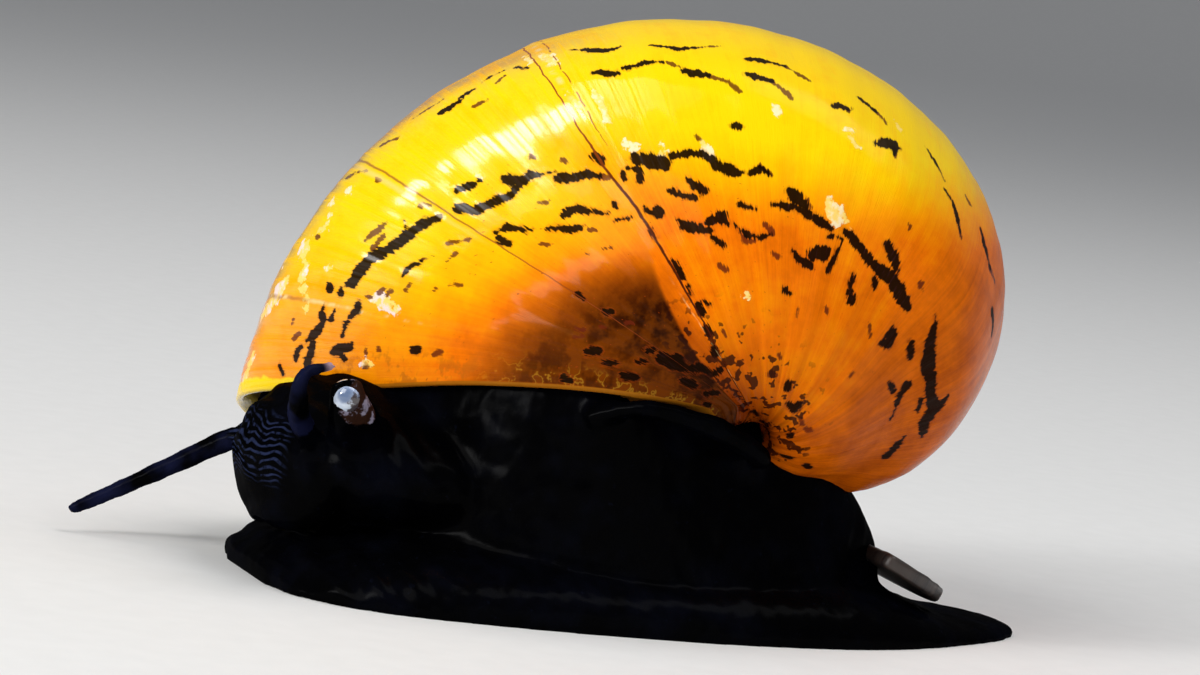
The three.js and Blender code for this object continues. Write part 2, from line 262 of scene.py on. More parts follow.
def set_stops(ramp, stops):
    """Gives a colour ramp its stops: a place from 0 to 1, and a colour, for each."""
    while len(ramp.elements) > 1:
        ramp.elements.remove(ramp.elements[-1])
    ramp.elements[0].position = stops[0][0]
    ramp.elements[0].color = (*stops[0][1], 1)
    for place, colour in stops[1:]:
        ramp.elements.new(place).color = (*colour, 1)


# %% Moves that every material repeats
def over(base, coat, share):
    """One colour laid over another by a share from 0 to 1."""
    first = share if isinstance(share, Wire) else base
    colours = [c if isinstance(c, Wire) else (*c, 1) for c in (base, coat)]
    return first.node(
        "ShaderNodeMix", {"data_type": "RGBA"}, {0: share, 6: colours[0], 7: colours[1]}, 2
    )


def grain(vector, scale, detail=2.0, roughness=0.5):
    """Noise between 0 and 1 on a vector."""
    return vector.node(
        "ShaderNodeTexNoise",
        {"noise_dimensions": "3D"},
        {"Vector": vector, "Scale": scale, "Detail": detail, "Roughness": roughness},
    )


def start_material(name):
    """A new material, with its shader node and a wire to start reckoning from."""
    material = bpy.data.materials.new(name)
    material.use_nodes = True
    return material, material.node_tree.nodes["Principled BSDF"], Wire(material.node_tree)


def feed(wire, shader, socket):
    """Links a wire to a named socket of the shader node."""
    wire.tree.links.new(wire.socket, shader.inputs[socket])


def attribute(wire, name):
    """A number stored at each point of the piece."""
    return wire.node("ShaderNodeAttribute", {"attribute_name": name}, {}, 2)


def place_of(wire):
    """The Object coordinates, in metres."""
    return wire.node("ShaderNodeTexCoord", {}, {}, 3)


def parts_of(vector):
    """The X, Y and Z of a vector."""
    split = vector.tree.nodes.new("ShaderNodeSeparateXYZ")
    vector.tree.links.new(vector.socket, split.inputs[0])
    return [Wire(vector.tree, socket) for socket in split.outputs]


def joined(x, y, z=0.0):
    """A vector from two or three numbers."""
    return x.node("ShaderNodeCombineXYZ", {}, {0: x, 1: y, 2: z})


def raised(height, shader, distance):
    """Feeds a height, in parts of a distance in millimetres, to a shader as bump."""
    bump = height.node("ShaderNodeBump", {}, {"Height": height, "Distance": distance * MM})
    feed(bump, shader, "Normal")


# %% [markdown]
# The floor is matt paper. Real paper is never one flat colour, so a fine fibre noise moves
# it between two close greys.

# %% Floor paper
paper, paper_shader, wire = start_material("pale paper")
fibre = grain(place_of(wire), 900.0, 3.0)
feed(over((0.80, 0.80, 0.79), (0.86, 0.86, 0.85), fibre), paper_shader, "Base Color")
paper_shader.inputs["Roughness"].default_value = 0.75
floor_data.materials.append(paper)

# %% [markdown]
# ## How the shell grows
#
# A snail builds its shell by adding a little at the lip, always a bit larger and a bit
# further round an axis. So one closed outline, carried round the axis while it swells, is
# the whole shell. Away from the axis everything grows at one rate, while along the axis
# the growth is quick only next to the apex. That is what makes the globe with its low
# spire. The mouth is flat: each point of the outline stops where it meets that plane, and
# every older growth line is the same curve, turned back by its age in degrees.

# %% Growth of the shell
APEX = Vector((-7.38, 10.72, 11.73))
AXIS_TO_REAR, AXIS_RISE = math.radians(34.3), math.radians(17)
LIP_BELOW_LEVEL = math.radians(11.6)
OUTWARD_GROWTH, BASE_GROWTH, GROWTH_BEND = 0.319, 0.053, 0.12
OUTLINE_LENGTH = 21.6
MOUTH_KEEL = np.array((18.5, 0, 13.45))
MOUTH_LEAN, MOUTH_PITCH = math.radians(34.2), math.radians(7.1)
MOUTH_REACH = math.radians(69)  # no point of the lip is further round than this
HOLLOW_CENTRE = np.array((9.8, 12.0))
DECK_WIDTH = 4.4  # how far the inner lip's shelf keeps the hollow from the axis
OLD_SCAR, MIDDLE_SCAR, YOUNG_SCAR = 59.4, 32.3, 11.9  # growth halts, by age in degrees

to_base = Vector(
    (
        math.cos(AXIS_TO_REAR) * math.cos(AXIS_RISE),
        -math.sin(AXIS_TO_REAR) * math.cos(AXIS_RISE),
        -math.sin(AXIS_RISE),
    )
)
axis_up = (Vector((0, 0, 1)) - to_base * to_base.z).normalized()
outward = to_base.cross(axis_up) * math.cos(LIP_BELOW_LEVEL) - axis_up * math.sin(LIP_BELOW_LEVEL)
onward = to_base.cross(outward)
shell_axes = np.array((outward, onward, to_base))
mouth_normal = np.array((math.tan(MOUTH_PITCH), 1, math.tan(MOUTH_LEAN)))
mouth_normal /= np.linalg.norm(mouth_normal)
print("axis towards the base:", [round(part, 3) for part in to_base])


# %% One outline carried round the axis
def carried(ring, angle):
    """Outline points [out, along] after a turn about the axis, in the shell's own axes."""
    out, along = ring[..., 0], ring[..., 1]
    slow = (OUTWARD_GROWTH - BASE_GROWTH) * (along / OUTLINE_LENGTH) ** GROWTH_BEND
    far = out * np.exp(OUTWARD_GROWTH * angle)
    deep = along * np.exp((OUTWARD_GROWTH - slow) * angle)
    return np.stack([far * np.cos(angle), far * np.sin(angle), deep], -1)


def in_place(points):
    """Points in the shell's own axes brought to where the shell sits."""
    return np.array(APEX) + points @ shell_axes


def mouth_angle(ring):
    """The turn at which each outline point meets the flat mouth, by halving."""
    low = np.full(len(ring), -MOUTH_REACH)
    high = -low
    for _ in range(30):
        middle = (low + high) / 2
        short = (carried(ring, middle) - MOUTH_KEEL) @ mouth_normal < 0
        low, high = np.where(short, middle, low), np.where(short, high, middle)
    return (low + high) / 2


# %% A smooth curve
def smooth_curve(stations, steps, closed=False):
    """Points on a smooth curve through stations, with a number of steps for each span."""
    stations = np.array(stations, float)
    last = len(stations) - 1
    steps = steps if isinstance(steps, list) else [steps] * (last + closed)
    made = []
    for i, count in enumerate(steps):
        near = np.arange(i - 1, i + 3)
        near = near % len(stations) if closed else near.clip(0, last)
        before, start, end, after = stations[near]
        for t in np.arange(count) / count:
            lean_in, lean_out = (end - before) / 2, (after - start) / 2
            bend = 3 * (end - start) - 2 * lean_in - lean_out
            twist = 2 * (start - end) + lean_in + lean_out
            made.append(start + t * (lean_in + t * (bend + t * twist)))
    if not closed:
        made.append(stations[-1])
    return np.array(made)


# %% [markdown]
# The outline is drawn as [distance from the axis, distance along it]: from the suture,
# over the shoulder and the keel, to the base and back along the axis. The steps are fine
# where the shell shows and coarse where it is buried.

# %% The whorl's outline
WHORL = [
    (1.62, 2.0),
    (5.05, 2.4),
    (9.59, 3.7),
    (13.93, 6.23),
    (17.16, 9.45),
    (18.37, 12.67),
    (17.56, 16.09),
    (12.8, 18.07),
    (9.25, 19.75),
    (5.05, 20.56),
    (1.82, 19.8),
    (0.3, 18.6),
    (0.3, 11.0),
    (0.3, 4.5),
]
SPAN_STEPS = [6, 8, 12, 16, 18, 24, 32, 26, 26, 14, 6, 3, 3, 3]
outline = smooth_curve(WHORL, SPAN_STEPS, closed=True)
row = np.concatenate([i + np.arange(n) / n for i, n in enumerate(SPAN_STEPS)])
lip_angle = mouth_angle(outline)
print("outline:", len(outline), "points")

# %% [markdown]
# The growth isn't quite even. Low waves of a few lengths follow each other, and each halt
# leaves a groove with a small step after it. These are real relief, because the light
# catches them at the shell's edge, where a painted line would not show.


# %% Relief of the outside
def narrowed(share):
    """The outline drawn towards its centre, and kept off the axis by the inner lip's shelf."""
    inner = HOLLOW_CENTRE + (outline - HOLLOW_CENTRE) * share
    inner[:, 0] = np.maximum(inner[:, 0], DECK_WIDTH)
    return inner


def ripple(age):
    """How far growth halts raise or sink the shell at ages, in millimetres."""
    waves = [(1.9, 0.004, 0.3), (3.3, 0.006, 1.7), (7.1, 0.012, 4.1), (15.7, 0.025, 2.2)]
    height = sum(size * np.sin(2 * math.pi * age / length + start) for length, size, start in waves)
    scars = ((OLD_SCAR, 0.06), (OLD_SCAR - 2.2, 0.04), (MIDDLE_SCAR, 0.05), (YOUNG_SCAR, 0.05))
    for scar, depth in scars:
        height = height - depth * np.exp(-(((age - scar) / 0.9) ** 2))
        height = height + 0.02 * (np.tanh((age - scar) / 1.5) + 1)
    return height * np.minimum(1, age / 4)


def outside(age, at_row):
    """Points of the shell's outside, on growth lines of some age, at rows of the outline."""
    spot = np.stack([np.interp(at_row, row, outline[:, i]) for i in (0, 1)], -1)
    spoke = spot - HOLLOW_CENTRE
    spot = spot + spoke * (ripple(age) / np.linalg.norm(spoke, axis=1))[:, None]
    angle = np.interp(at_row, row, lip_angle) - np.radians(age)
    return in_place(carried(spot, angle))


# %% [markdown]
# The shell is a flat sheet that gets rolled up. `create_grid` makes the sheet, one column
# for each outline point and one line for each growth line: first the wall inside the
# mouth, then over the thin lip, then back along the outside to the worn apex. Its two
# long edges meet along the axis and are merged.


# %% A sheet rolled into rings
def rolled(rings, stored=None):
    """A closed skin through rings of points, each as long as the next. Numbers stored for
    each point are kept as layers of the mesh."""
    rings = [np.tile(rings[0].mean(0), (len(rings[0]), 1)), *rings]
    rings.append(np.tile(rings[-1].mean(0), (len(rings[0]), 1)))
    around, along = len(rings[0]), len(rings)
    skin = bmesh.new()
    bmesh.ops.create_grid(skin, x_segments=around, y_segments=along - 1, size=1)
    skin.verts.ensure_lookup_table()
    layers = {name: skin.verts.layers.float.new(name) for name in stored or {}}
    for vert in skin.verts:
        line, column = divmod(vert.index, around + 1)
        vert.co = rings[line][column % around]
        for name, layer in layers.items():
            vert[layer] = stored[name][min(max(line - 1, 0), along - 3)][column % around]
    seam = [v for v in skin.verts if v.index % (around + 1) in (0, around)]
    ends = [v for v in skin.verts if v.index // (around + 1) in (0, along - 1)]
    bmesh.ops.remove_doubles(skin, verts=list(set(seam + ends)), dist=1e-4)
    bmesh.ops.recalc_face_normals(skin, faces=skin.faces)
    return skin


# %% The shell's rings
HOLLOW_TURNS = (34, 26, 18, 12, 8, 5, 3, 1.5, 0.5)  # degrees behind the lip
WALL_SHARE, THIN_SHARE = 0.925, 0.972  # the hollow's and the lip edge's outline, of the whole
THINNING, THINNING_TURN = 0.045, 2.5  # the wall grows thinner over the last degrees
LIP_BULGE = 0.12
ages = [*np.arange(0, 150, 1.2), *np.arange(150, 300, 2.5), *np.arange(300, 640, 8.0)]
rings, ring_ages = [], []
for turn_back in HOLLOW_TURNS:
    inner = narrowed(WALL_SHARE + THINNING * math.exp(-turn_back / THINNING_TURN))
    rings.append(in_place(carried(inner, mouth_angle(inner) - math.radians(turn_back))))
    ring_ages.append(-turn_back)
thin = narrowed(THIN_SHARE)
thin_edge = in_place(carried(thin, mouth_angle(thin)))
outer_edge = in_place(carried(outline, lip_angle))
forward = mouth_normal @ shell_axes
for share in (0.0, 0.3, 0.7):
    bulge = np.minimum(LIP_BULGE, np.linalg.norm(outer_edge - thin_edge, axis=1) / 3)
    bulge = bulge * math.sin(math.pi * share)
    rings.append(thin_edge + (outer_edge - thin_edge) * share + forward * bulge[:, None])
    ring_ages.append(-0.2 + 0.1 * share)
for at_age in ages:
    rings.append(outside(np.full(len(row), at_age), row))
    ring_ages.append(at_age)
stored = {
    "age": [np.full(len(outline), at_age) for at_age in ring_ages],
    "row": [row for _ in ring_ages],
}
shell_skin = rolled(rings, stored)
print("shell:", len(rings), "growth lines,", len(shell_skin.faces), "faces")

# %% [markdown]
# ## Dashes, one by one
#
# Each dark dash is a short line with a thickness, given where it stands in the picture:
# (pixels across, pixels down, thickness in pixels). A ray from the camera through each
# point finds the shell, so the dash lies on the surface, not on the view. What the shell
# stores at every point is its distance to the nearest edge of a dash. The material cuts
# that distance at zero with a ragged edge, so a dash needs no texture and stays sharp.

# %% Dark dashes, as strokes
INK = [
    [(440, 217, 5), (421, 225, 10), (408, 236, 10), (390, 248, 9), (375, 256, 9)],
    [(375, 256, 9), (367, 262, 10), (357, 275, 12), (352, 283, 10), (346, 285, 4)],
    [(408, 236, 6), (404, 222, 3)],
    [(330, 287, 9), (330, 289, 7)],
    [(341, 289, 5), (340, 294, 6)],
    [(422, 261, 3), (410, 266, 4), (403, 275, 2)],
    [(324, 304, 3), (321, 313, 7), (323, 321, 7), (319, 329, 7), (313, 336, 7), (307, 340, 3)],
    [(335, 309, 2), (330, 321, 3)],
    [(313, 343, 4), (310, 354, 8), (307, 366, 9)],
    [(301, 346, 4), (297, 352, 6), (296, 360, 3)],
    [(280, 366, 3), (283, 374, 2)],
    [(359, 304, 7), (356, 311, 8), (350, 317, 4), (347, 321, 2)],
    [(345, 327, 4), (342, 336, 4)],
    [(332, 352, 6), (340, 350, 13), (350, 347, 6)],
    [(341, 350, 6), (345, 358, 5)],
    [(412, 350, 6), (418, 350, 6)],
    [(458, 208, 8), (478, 210, 6), (495, 201, 9), (511, 196, 6), (518, 186, 8), (530, 176, 9)],
    [(505, 178, 8), (518, 181, 10), (530, 176, 8)],
    [(457, 190, 5), (469, 186, 7), (481, 180, 3)],
    [(533, 175, 2), (554, 172, 2)],
    [(556, 178, 6), (573, 178, 8), (589, 174, 6), (599, 176, 3)],
    [(564, 215, 6), (576, 208, 8), (589, 211, 4), (607, 214, 3)],
    [(614, 203, 5), (614, 206, 5)],
    [(616, 220, 2), (631, 218, 2)],
    [(495, 233, 3), (506, 228, 6), (516, 229, 5), (533, 230, 3)],
    [(498, 238, 5), (508, 244, 6)],
    [(548, 228, 4), (564, 229, 7), (581, 228, 4)],
    [(593, 156, 5), (601, 160, 8)],
    [(622, 174, 5), (625, 179, 4)],
    [(645, 206, 4), (650, 213, 5)],
    [(656, 211, 9), (659, 213, 8)],
    [(652, 229, 3), (656, 238, 6)],
    [(636, 158, 10), (652, 161, 13), (665, 164, 12), (670, 163, 3)],
    [(628, 168, 3), (640, 170, 4), (640, 180, 7)],
    [(673, 156, 5), (690, 153, 7), (703, 154, 5), (711, 159, 5), (718, 167, 9), (726, 171, 9)],
    [(726, 170, 12), (734, 172, 7), (743, 173, 2)],
    [(750, 174, 2), (758, 170, 7), (763, 169, 5), (769, 174, 4)],
    [(689, 179, 5), (696, 185, 9), (705, 192, 7)],
    [(670, 191, 4), (683, 195, 6), (696, 198, 4)],
    [(740, 205, 5), (756, 209, 4)],
    [(706, 223, 4), (716, 219, 7), (721, 217, 12), (727, 223, 6)],
    [(678, 220, 3), (684, 225, 9), (696, 228, 8), (710, 231, 5)],
    [(713, 237, 3), (718, 242, 6), (723, 244, 4)],
    [(735, 224, 2), (741, 231, 4), (749, 235, 5), (759, 238, 4), (769, 235, 3)],
    [(790, 191, 6), (796, 197, 13), (803, 204, 10)],
    [(774, 205, 4), (785, 206, 6), (796, 207, 7), (806, 213, 8), (819, 221, 8), (831, 228, 4)],
    [(814, 254, 12), (825, 254, 12)],
    [(793, 251, 3), (799, 259, 7), (805, 263, 7), (811, 267, 6)],
    [(828, 237, 2), (835, 236, 3), (843, 240, 2)],
    [(843, 240, 2), (838, 250, 3), (833, 259, 4), (827, 271, 3)],
    [(847, 233, 7), (859, 247, 7), (872, 262, 9), (880, 270, 9), (890, 276, 13), (898, 290, 13)],
    [(898, 290, 13), (905, 303, 10), (908, 308, 6)],
    [(888, 244, 6), (892, 254, 12), (895, 262, 7), (895, 271, 3)],
    [(853, 275, 4), (850, 290, 7), (851, 301, 9)],
    [(874, 279, 4), (875, 287, 4)],
    [(785, 291, 6), (790, 293, 6)],
    [(893, 331, 8), (888, 342, 13), (881, 343, 7)],
    [(911, 342, 5), (911, 350, 8), (911, 358, 5)],
    [(936, 316, 2), (934, 330, 6), (930, 342, 10), (928, 360, 14), (930, 378, 12), (931, 398, 8)],
    [(931, 398, 9), (934, 409, 16), (925, 422, 12), (922, 437, 4)],
    [(934, 409, 14), (942, 404, 8), (948, 396, 3)],
    [(890, 384, 5), (893, 391, 5)],
    [(907, 385, 7), (901, 394, 7), (897, 404, 5)],
    [(897, 404, 3), (890, 420, 2)],
    [(921, 400, 4), (918, 410, 4)],
    [(904, 437, 3), (896, 447, 7), (886, 456, 9)],
    [(788, 384, 6), (788, 388, 6)],
    [(788, 403, 5), (794, 410, 7), (800, 404, 5)],
    [(951, 199, 3), (955, 209, 6), (958, 221, 8), (960, 231, 4)],
    [(981, 230, 5), (984, 243, 8), (988, 258, 6), (990, 268, 3)],
    [(992, 311, 7), (993, 322, 9), (992, 334, 5)],
    [(945, 190, 2), (950, 198, 4)],
    [(859, 98, 2), (868, 105, 6), (875, 111, 5)],
    [(876, 144, 5), (886, 144, 8), (895, 145, 13), (894, 154, 4)],
    [(833, 107, 4), (840, 106, 8), (848, 109, 4)],
    [(927, 149, 2), (934, 160, 5), (941, 172, 3)],
    [(570, 50, 1), (590, 50, 5), (602, 51, 8), (614, 49, 7), (619, 47, 3)],
    [(650, 45, 1), (668, 47, 5), (678, 49, 7), (692, 48, 4), (704, 47, 2)],
    [(623, 68, 2), (636, 65, 4), (645, 63, 5), (662, 62, 2)],
    [(683, 70, 4), (692, 73, 8), (702, 74, 5), (709, 75, 3)],
    [(749, 59, 7), (760, 60, 8), (773, 63, 5), (784, 66, 2)],
    [(748, 74, 5), (755, 76, 9), (764, 79, 6), (772, 81, 3)],
    [(596, 72, 4), (605, 73, 6), (617, 74, 3)],
    [(733, 126, 3), (741, 127, 3)],
    [(473, 90, 5), (463, 96, 6)],
    [(460, 101, 4), (450, 107, 7), (441, 112, 4)],
    [(503, 71, 2), (492, 76, 3), (481, 83, 2)],
    [(516, 67, 3), (529, 68, 3)],
    [(578, 294, 5), (584, 299, 4)],
    [(605, 311, 5), (611, 312, 5)],
    [(673, 262, 4), (678, 270, 7), (681, 277, 6)],
    [(687, 286, 2), (691, 295, 4)],
    [(699, 305, 6), (701, 312, 6)],
    [(704, 301, 4), (709, 304, 4)],
    [(707, 329, 6), (709, 335, 6)],
    [(715, 347, 6), (716, 353, 6)],
    [(662, 358, 12), (676, 362, 16), (686, 368, 9), (702, 368, 8), (713, 374, 5), (720, 370, 6)],
    [(683, 381, 6), (694, 385, 8)],
    [(706, 393, 5), (717, 393, 5)],
    [(704, 404, 4), (709, 405, 3)],
    [(755, 411, 7), (757, 416, 5)],
    [(766, 423, 4), (760, 439, 5)],
    [(750, 427, 5), (751, 434, 5)],
    [(785, 456, 8), (789, 457, 8)],
    [(806, 466, 8), (809, 468, 6)],
    [(790, 435, 5), (792, 434, 5)],
    [(624, 376, 7), (634, 377, 8)],
    [(604, 363, 5), (616, 363, 7)],
    [(586, 352, 5), (598, 352, 6)],
    [(564, 378, 8), (570, 380, 6)],
    [(638, 362, 5), (644, 362, 5)],
    [(648, 351, 5), (653, 351, 5)],
]

# %% [markdown]
# Two more kinds of mark have the same form: thin brown streaks, which run out from the
# dark dashes or stand alone, and pale spots: some where the shell is worn to its chalky
# layer, and some a painted highlight where the wet shell shines.

# %% Brown streaks, as strokes
RUST = [
    [(387, 223, 3), (375, 232, 4), (365, 240, 3)],
    [(384, 236, 3), (372, 250, 3)],
    [(434, 256, 2), (421, 260, 3)],
    [(456, 253, 3), (447, 262, 3)],
    [(471, 239, 3), (448, 243, 3)],
    [(418, 204, 3), (430, 205, 3)],
    [(376, 179, 4), (380, 180, 4)],
    [(346, 178, 3), (367, 171, 3)],
    [(316, 236, 4), (319, 238, 3)],
    [(301, 332, 2), (293, 340, 3)],
    [(291, 326, 3), (294, 318, 3)],
    [(307, 312, 2), (310, 321, 2)],
    [(367, 296, 5), (370, 297, 4)],
    [(383, 290, 4), (378, 293, 4)],
    [(391, 291, 5), (387, 295, 4)],
    [(410, 285, 4), (406, 289, 3)],
    [(434, 290, 3), (436, 289, 3)],
    [(450, 285, 4), (461, 286, 4)],
    [(366, 348, 2), (366, 356, 3)],
    [(378, 349, 4), (380, 350, 3)],
    [(434, 354, 6), (441, 352, 6)],
    [(364, 367, 3), (368, 366, 3)],
    [(538, 244, 2), (553, 244, 3)],
    [(538, 203, 2), (549, 202, 3)],
    [(531, 157, 4), (536, 157, 4)],
    [(561, 160, 4), (565, 162, 4)],
    [(588, 230, 3), (597, 230, 2)],
    [(604, 248, 3), (612, 248, 2)],
    [(586, 254, 2), (592, 254, 2)],
    [(599, 176, 4), (610, 178, 2)],
    [(504, 76, 3), (496, 83, 2)],
    [(486, 101, 3), (474, 106, 3)],
    [(380, 146, 3), (398, 138, 3)],
    [(448, 97, 2), (411, 120, 3)],
    [(704, 47, 3), (719, 46, 2)],
    [(666, 62, 2), (683, 68, 3)],
    [(709, 76, 3), (727, 81, 4), (739, 91, 3)],
    [(784, 66, 3), (797, 73, 5), (810, 81, 3)],
    [(772, 82, 3), (788, 94, 6), (792, 99, 3)],
    [(875, 111, 5), (882, 117, 5), (887, 125, 2)],
    [(895, 150, 8), (896, 158, 3)],
    [(853, 108, 3), (848, 112, 3)],
    [(965, 195, 3), (970, 204, 3)],
    [(941, 172, 5), (944, 180, 3)],
    [(760, 165, 3), (771, 174, 4)],
    [(808, 200, 3), (811, 208, 3)],
    [(766, 225, 4), (771, 233, 6)],
    [(741, 233, 4), (746, 243, 5), (755, 240, 4)],
    [(773, 253, 3), (777, 257, 4)],
    [(960, 230, 6), (961, 237, 4)],
    [(989, 266, 6), (995, 283, 5)],
    [(921, 284, 7), (921, 288, 7)],
    [(870, 326, 3), (870, 337, 3)],
    [(826, 308, 4), (827, 313, 3)],
    [(797, 309, 2), (797, 318, 2)],
    [(909, 224, 4), (910, 227, 3)],
    [(808, 430, 6), (810, 430, 5)],
    [(801, 420, 4), (802, 424, 4)],
    [(771, 373, 7), (776, 375, 5)],
    [(778, 355, 4), (780, 358, 3)],
    [(723, 331, 3), (725, 336, 3)],
    [(575, 330, 3), (584, 330, 4)],
    [(574, 337, 4), (582, 337, 4)],
    [(600, 327, 5), (604, 327, 4)],
    [(626, 323, 4), (633, 323, 4)],
    [(720, 266, 4), (726, 270, 4)],
    [(850, 376, 3), (853, 372, 3)],
    [(697, 137, 4), (699, 139, 3)],
]

# %% Worn spots and painted highlights, as strokes
WORN_AND_HIGHLIGHT_STROKES = [
    [(549, 55, 5), (549, 62, 7)],
    [(526, 56, 2), (529, 57, 2)],
    [(570, 92, 3), (578, 106, 6), (584, 116, 3)],
    [(594, 90, 3), (601, 104, 6), (609, 120, 3)],
    [(700, 139, 3), (706, 149, 4), (714, 161, 3)],
    [(624, 143, 3), (626, 146, 3)],
    [(634, 146, 3), (635, 149, 3)],
    [(659, 146, 4), (662, 152, 5)],
    [(776, 104, 3), (778, 112, 4)],
    [(828, 204, 10), (832, 212, 13), (837, 220, 6)],
    [(843, 213, 3), (850, 226, 3)],
    [(897, 124, 7), (900, 132, 7)],
    [(849, 128, 4), (850, 138, 5)],
    [(855, 143, 4), (857, 146, 4)],
    [(747, 294, 4), (749, 297, 4)],
    [(346, 190, 4), (354, 188, 5)],
    [(331, 198, 4), (331, 206, 6), (330, 216, 5), (326, 226, 5), (320, 230, 8)],
    [(314, 232, 6), (308, 240, 12), (304, 250, 15), (306, 262, 7), (304, 270, 4)],
    [(301, 278, 9), (301, 287, 10), (305, 294, 8), (306, 302, 7), (305, 312, 3)],
    [(288, 278, 5), (280, 290, 10), (271, 303, 11), (262, 316, 7)],
    [(296, 240, 4), (290, 252, 6), (284, 264, 5)],
    [(374, 299, 6), (386, 303, 8), (396, 308, 5)],
    [(366, 364, 4), (374, 366, 4)],
    [(254, 350, 6), (250, 362, 9), (247, 374, 10), (243, 384, 8)],
    [(326, 270, 3), (330, 268, 3)],
    [(526, 56, 4), (534, 62, 6)],
    [(542, 53, 4), (552, 60, 7), (558, 63, 4)],
    [(569, 93, 3), (577, 104, 4), (583, 113, 3)],
]


# %% Strokes laid on the shell
SHELL_PIXEL = np.array((640.0, 290.0))  # a point of the picture well inside the shell
surface = BVHTree.FromBMesh(shell_skin)
print("strokes:", len(INK), "dark,", len(RUST), "brown,", len(WORN_AND_HIGHLIGHT_STROKES), "worn_and_highlit")


def on_shell(pixel):
    """The point of the shell under a pixel of the picture. A pixel just outside the shell is
    brought in towards its middle."""
    spot = np.array(pixel, float)
    for _ in range(30):
        right, above = off_centre(spot)
        ray = (picture_right * right + picture_up * above - back * DISTANCE).normalized()
        hit = surface.ray_cast(eye_point, ray)[0]
        if hit:
            return hit
        spot += (SHELL_PIXEL - spot) / np.linalg.norm(SHELL_PIXEL - spot)
    raise ValueError(f"pixel {pixel} is far off the shell")


def laid(strokes):
    """Strokes of picture points as short straight pieces with a radius at each end."""
    pieces = []
    for stroke in strokes:
        spots = [(np.array(on_shell(p[:2])), (p[2] + 0.8) / 2 / PIXELS_PER_MM) for p in stroke]
        pieces += list(zip(spots, spots[1:]))
    return pieces


def distance_to(points, pieces, reach=0.9):
    """Each point's distance to the nearest edge of a stroke, negative inside it."""
    nearest = np.full(len(points), reach)
    for (start, thick_start), (end, thick_end) in pieces:
        run = end - start
        along = np.clip((points - start) @ run / max(run @ run, 1e-9), 0, 1)
        away = np.linalg.norm(points - start - along[:, None] * run, axis=1)
        nearest = np.minimum(nearest, away - thick_start - along * (thick_end - thick_start))
    return nearest


# %% [markdown]
# The sides that the picture doesn't show carry dashes too, in loose rows along the whorl,
# so they are drawn at random with a fixed seed. A random dash that would face the camera
# is dropped, because that side's dashes are listed one by one.

# %% Random dashes on the unseen sides
DASH_ROWS = (1.0, 1.7, 2.3, 2.9, 3.5, 4.1, 4.8, 5.5, 6.2, 7.0, 7.8)
TURNED_AWAY = -0.12  # the most that a random dash may face the camera
drawing = random.Random(11)


def random_dashes(count):
    """Short dashes along the whorl, in the form that `laid` gives."""
    pieces = []
    for _ in range(count):
        at_age = drawing.uniform(6, 520)
        across = drawing.choice(DASH_ROWS)
        across += drawing.gauss(0, 0.12)
        length = drawing.uniform(1.5, 6.5)
        drift = drawing.uniform(-0.12, 0.12)
        thick = drawing.uniform(0.06, 0.2) * (0.5 + 0.5 * math.exp(-at_age / 400))
        ends = outside(np.array([at_age, at_age + length]), np.array([across, across + drift]))
        start, end = ends
        face_normal = surface.find_nearest(Vector(start))[1]
        if face_normal.dot(back) > TURNED_AWAY:
            continue
        middle = (start + end) / 2
        pieces.append(((start, thick * 0.4), (middle, thick)))
        pieces.append(((middle, thick), (end, thick * 0.5)))
    return pieces


random_ink, random_rust = random_dashes(520), random_dashes(110)
print("random dashes:", len(random_ink) // 2, "dark,", len(random_rust) // 2, "brown")

# %% [markdown]
# A distance is stored only at the sheet's points, so a dash is as sharp as the sheet is
# fine. A fine sheet everywhere would be millions of faces. Only the edges near a stroke
# are divided, and the new points are put where the shell grows, not half way.


# %% A finer sheet under the dashes
def shell_values(name):
    """The numbers stored at the shell's points under a name."""
    layer = shell_skin.verts.layers.float[name]
    return np.array([v[layer] for v in shell_skin.verts])


def shell_points():
    """Where the shell's points are."""
    return np.array([v.co for v in shell_skin.verts])


for drawn, reach in ((laid(INK + RUST), 0.2), (laid(INK), 0.07)):
    near = distance_to(shell_points(), drawn) < reach
    shell_skin.verts.index_update()
    edges = [e for e in shell_skin.edges if all(near[v.index] for v in e.verts)]
    before = len(shell_skin.verts)
    bmesh.ops.subdivide_edges(shell_skin, edges=edges, cuts=1, use_grid_fill=True)
    shell_skin.verts.ensure_lookup_table()
    shell_skin.verts.index_update()
    added = shell_skin.verts[before:]
    grown = outside(shell_values("age")[before:], shell_values("row")[before:])
    for vert, spot in zip(added, grown):
        vert.co = spot
    print("finer under the dashes:", len(added), "more points")
triangles = sum(len(f.verts) - 2 for f in shell_skin.faces)
print("shell:", triangles, "triangles")

# %% Distances stored on the shell
marks = {
    "ink": distance_to(shell_points(), laid(INK) + random_ink),
    "rust": distance_to(shell_points(), laid(RUST) + random_rust),
    "chalk": distance_to(shell_points(), laid(WORN_AND_HIGHLIGHT_STROKES)),
}
for name, values in marks.items():
    layer = shell_skin.verts.layers.float.new(name)
    for vert, value in zip(shell_skin.verts, values):
        vert[layer] = value
    print(name, "covers", int((values < 0).sum()), "points")


# %% [markdown]
# Every piece ends in the same way, so one function does it: the skin goes to metres and
# into an object at the origin, it is attached to the frame's root body, and the frame's
# solids that it stands for are hidden.


# %% A finished piece
def finished(name, skin, material, nodes):
    """Brings a skin to metres, gives it its material and hides the solids it stands for."""
    skin.transform(Matrix.Scale(MM, 4))
    data = bpy.data.meshes.new(name)
    skin.to_mesh(data)
    skin.free()
    data.shade_smooth()
    data.materials.append(material)
    piece = bpy.data.objects.new(name, data)
    scene.collection.objects.link(piece)
    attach(piece, "root")
    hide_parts(*nodes)
    print(name, len(data.polygons), "faces")
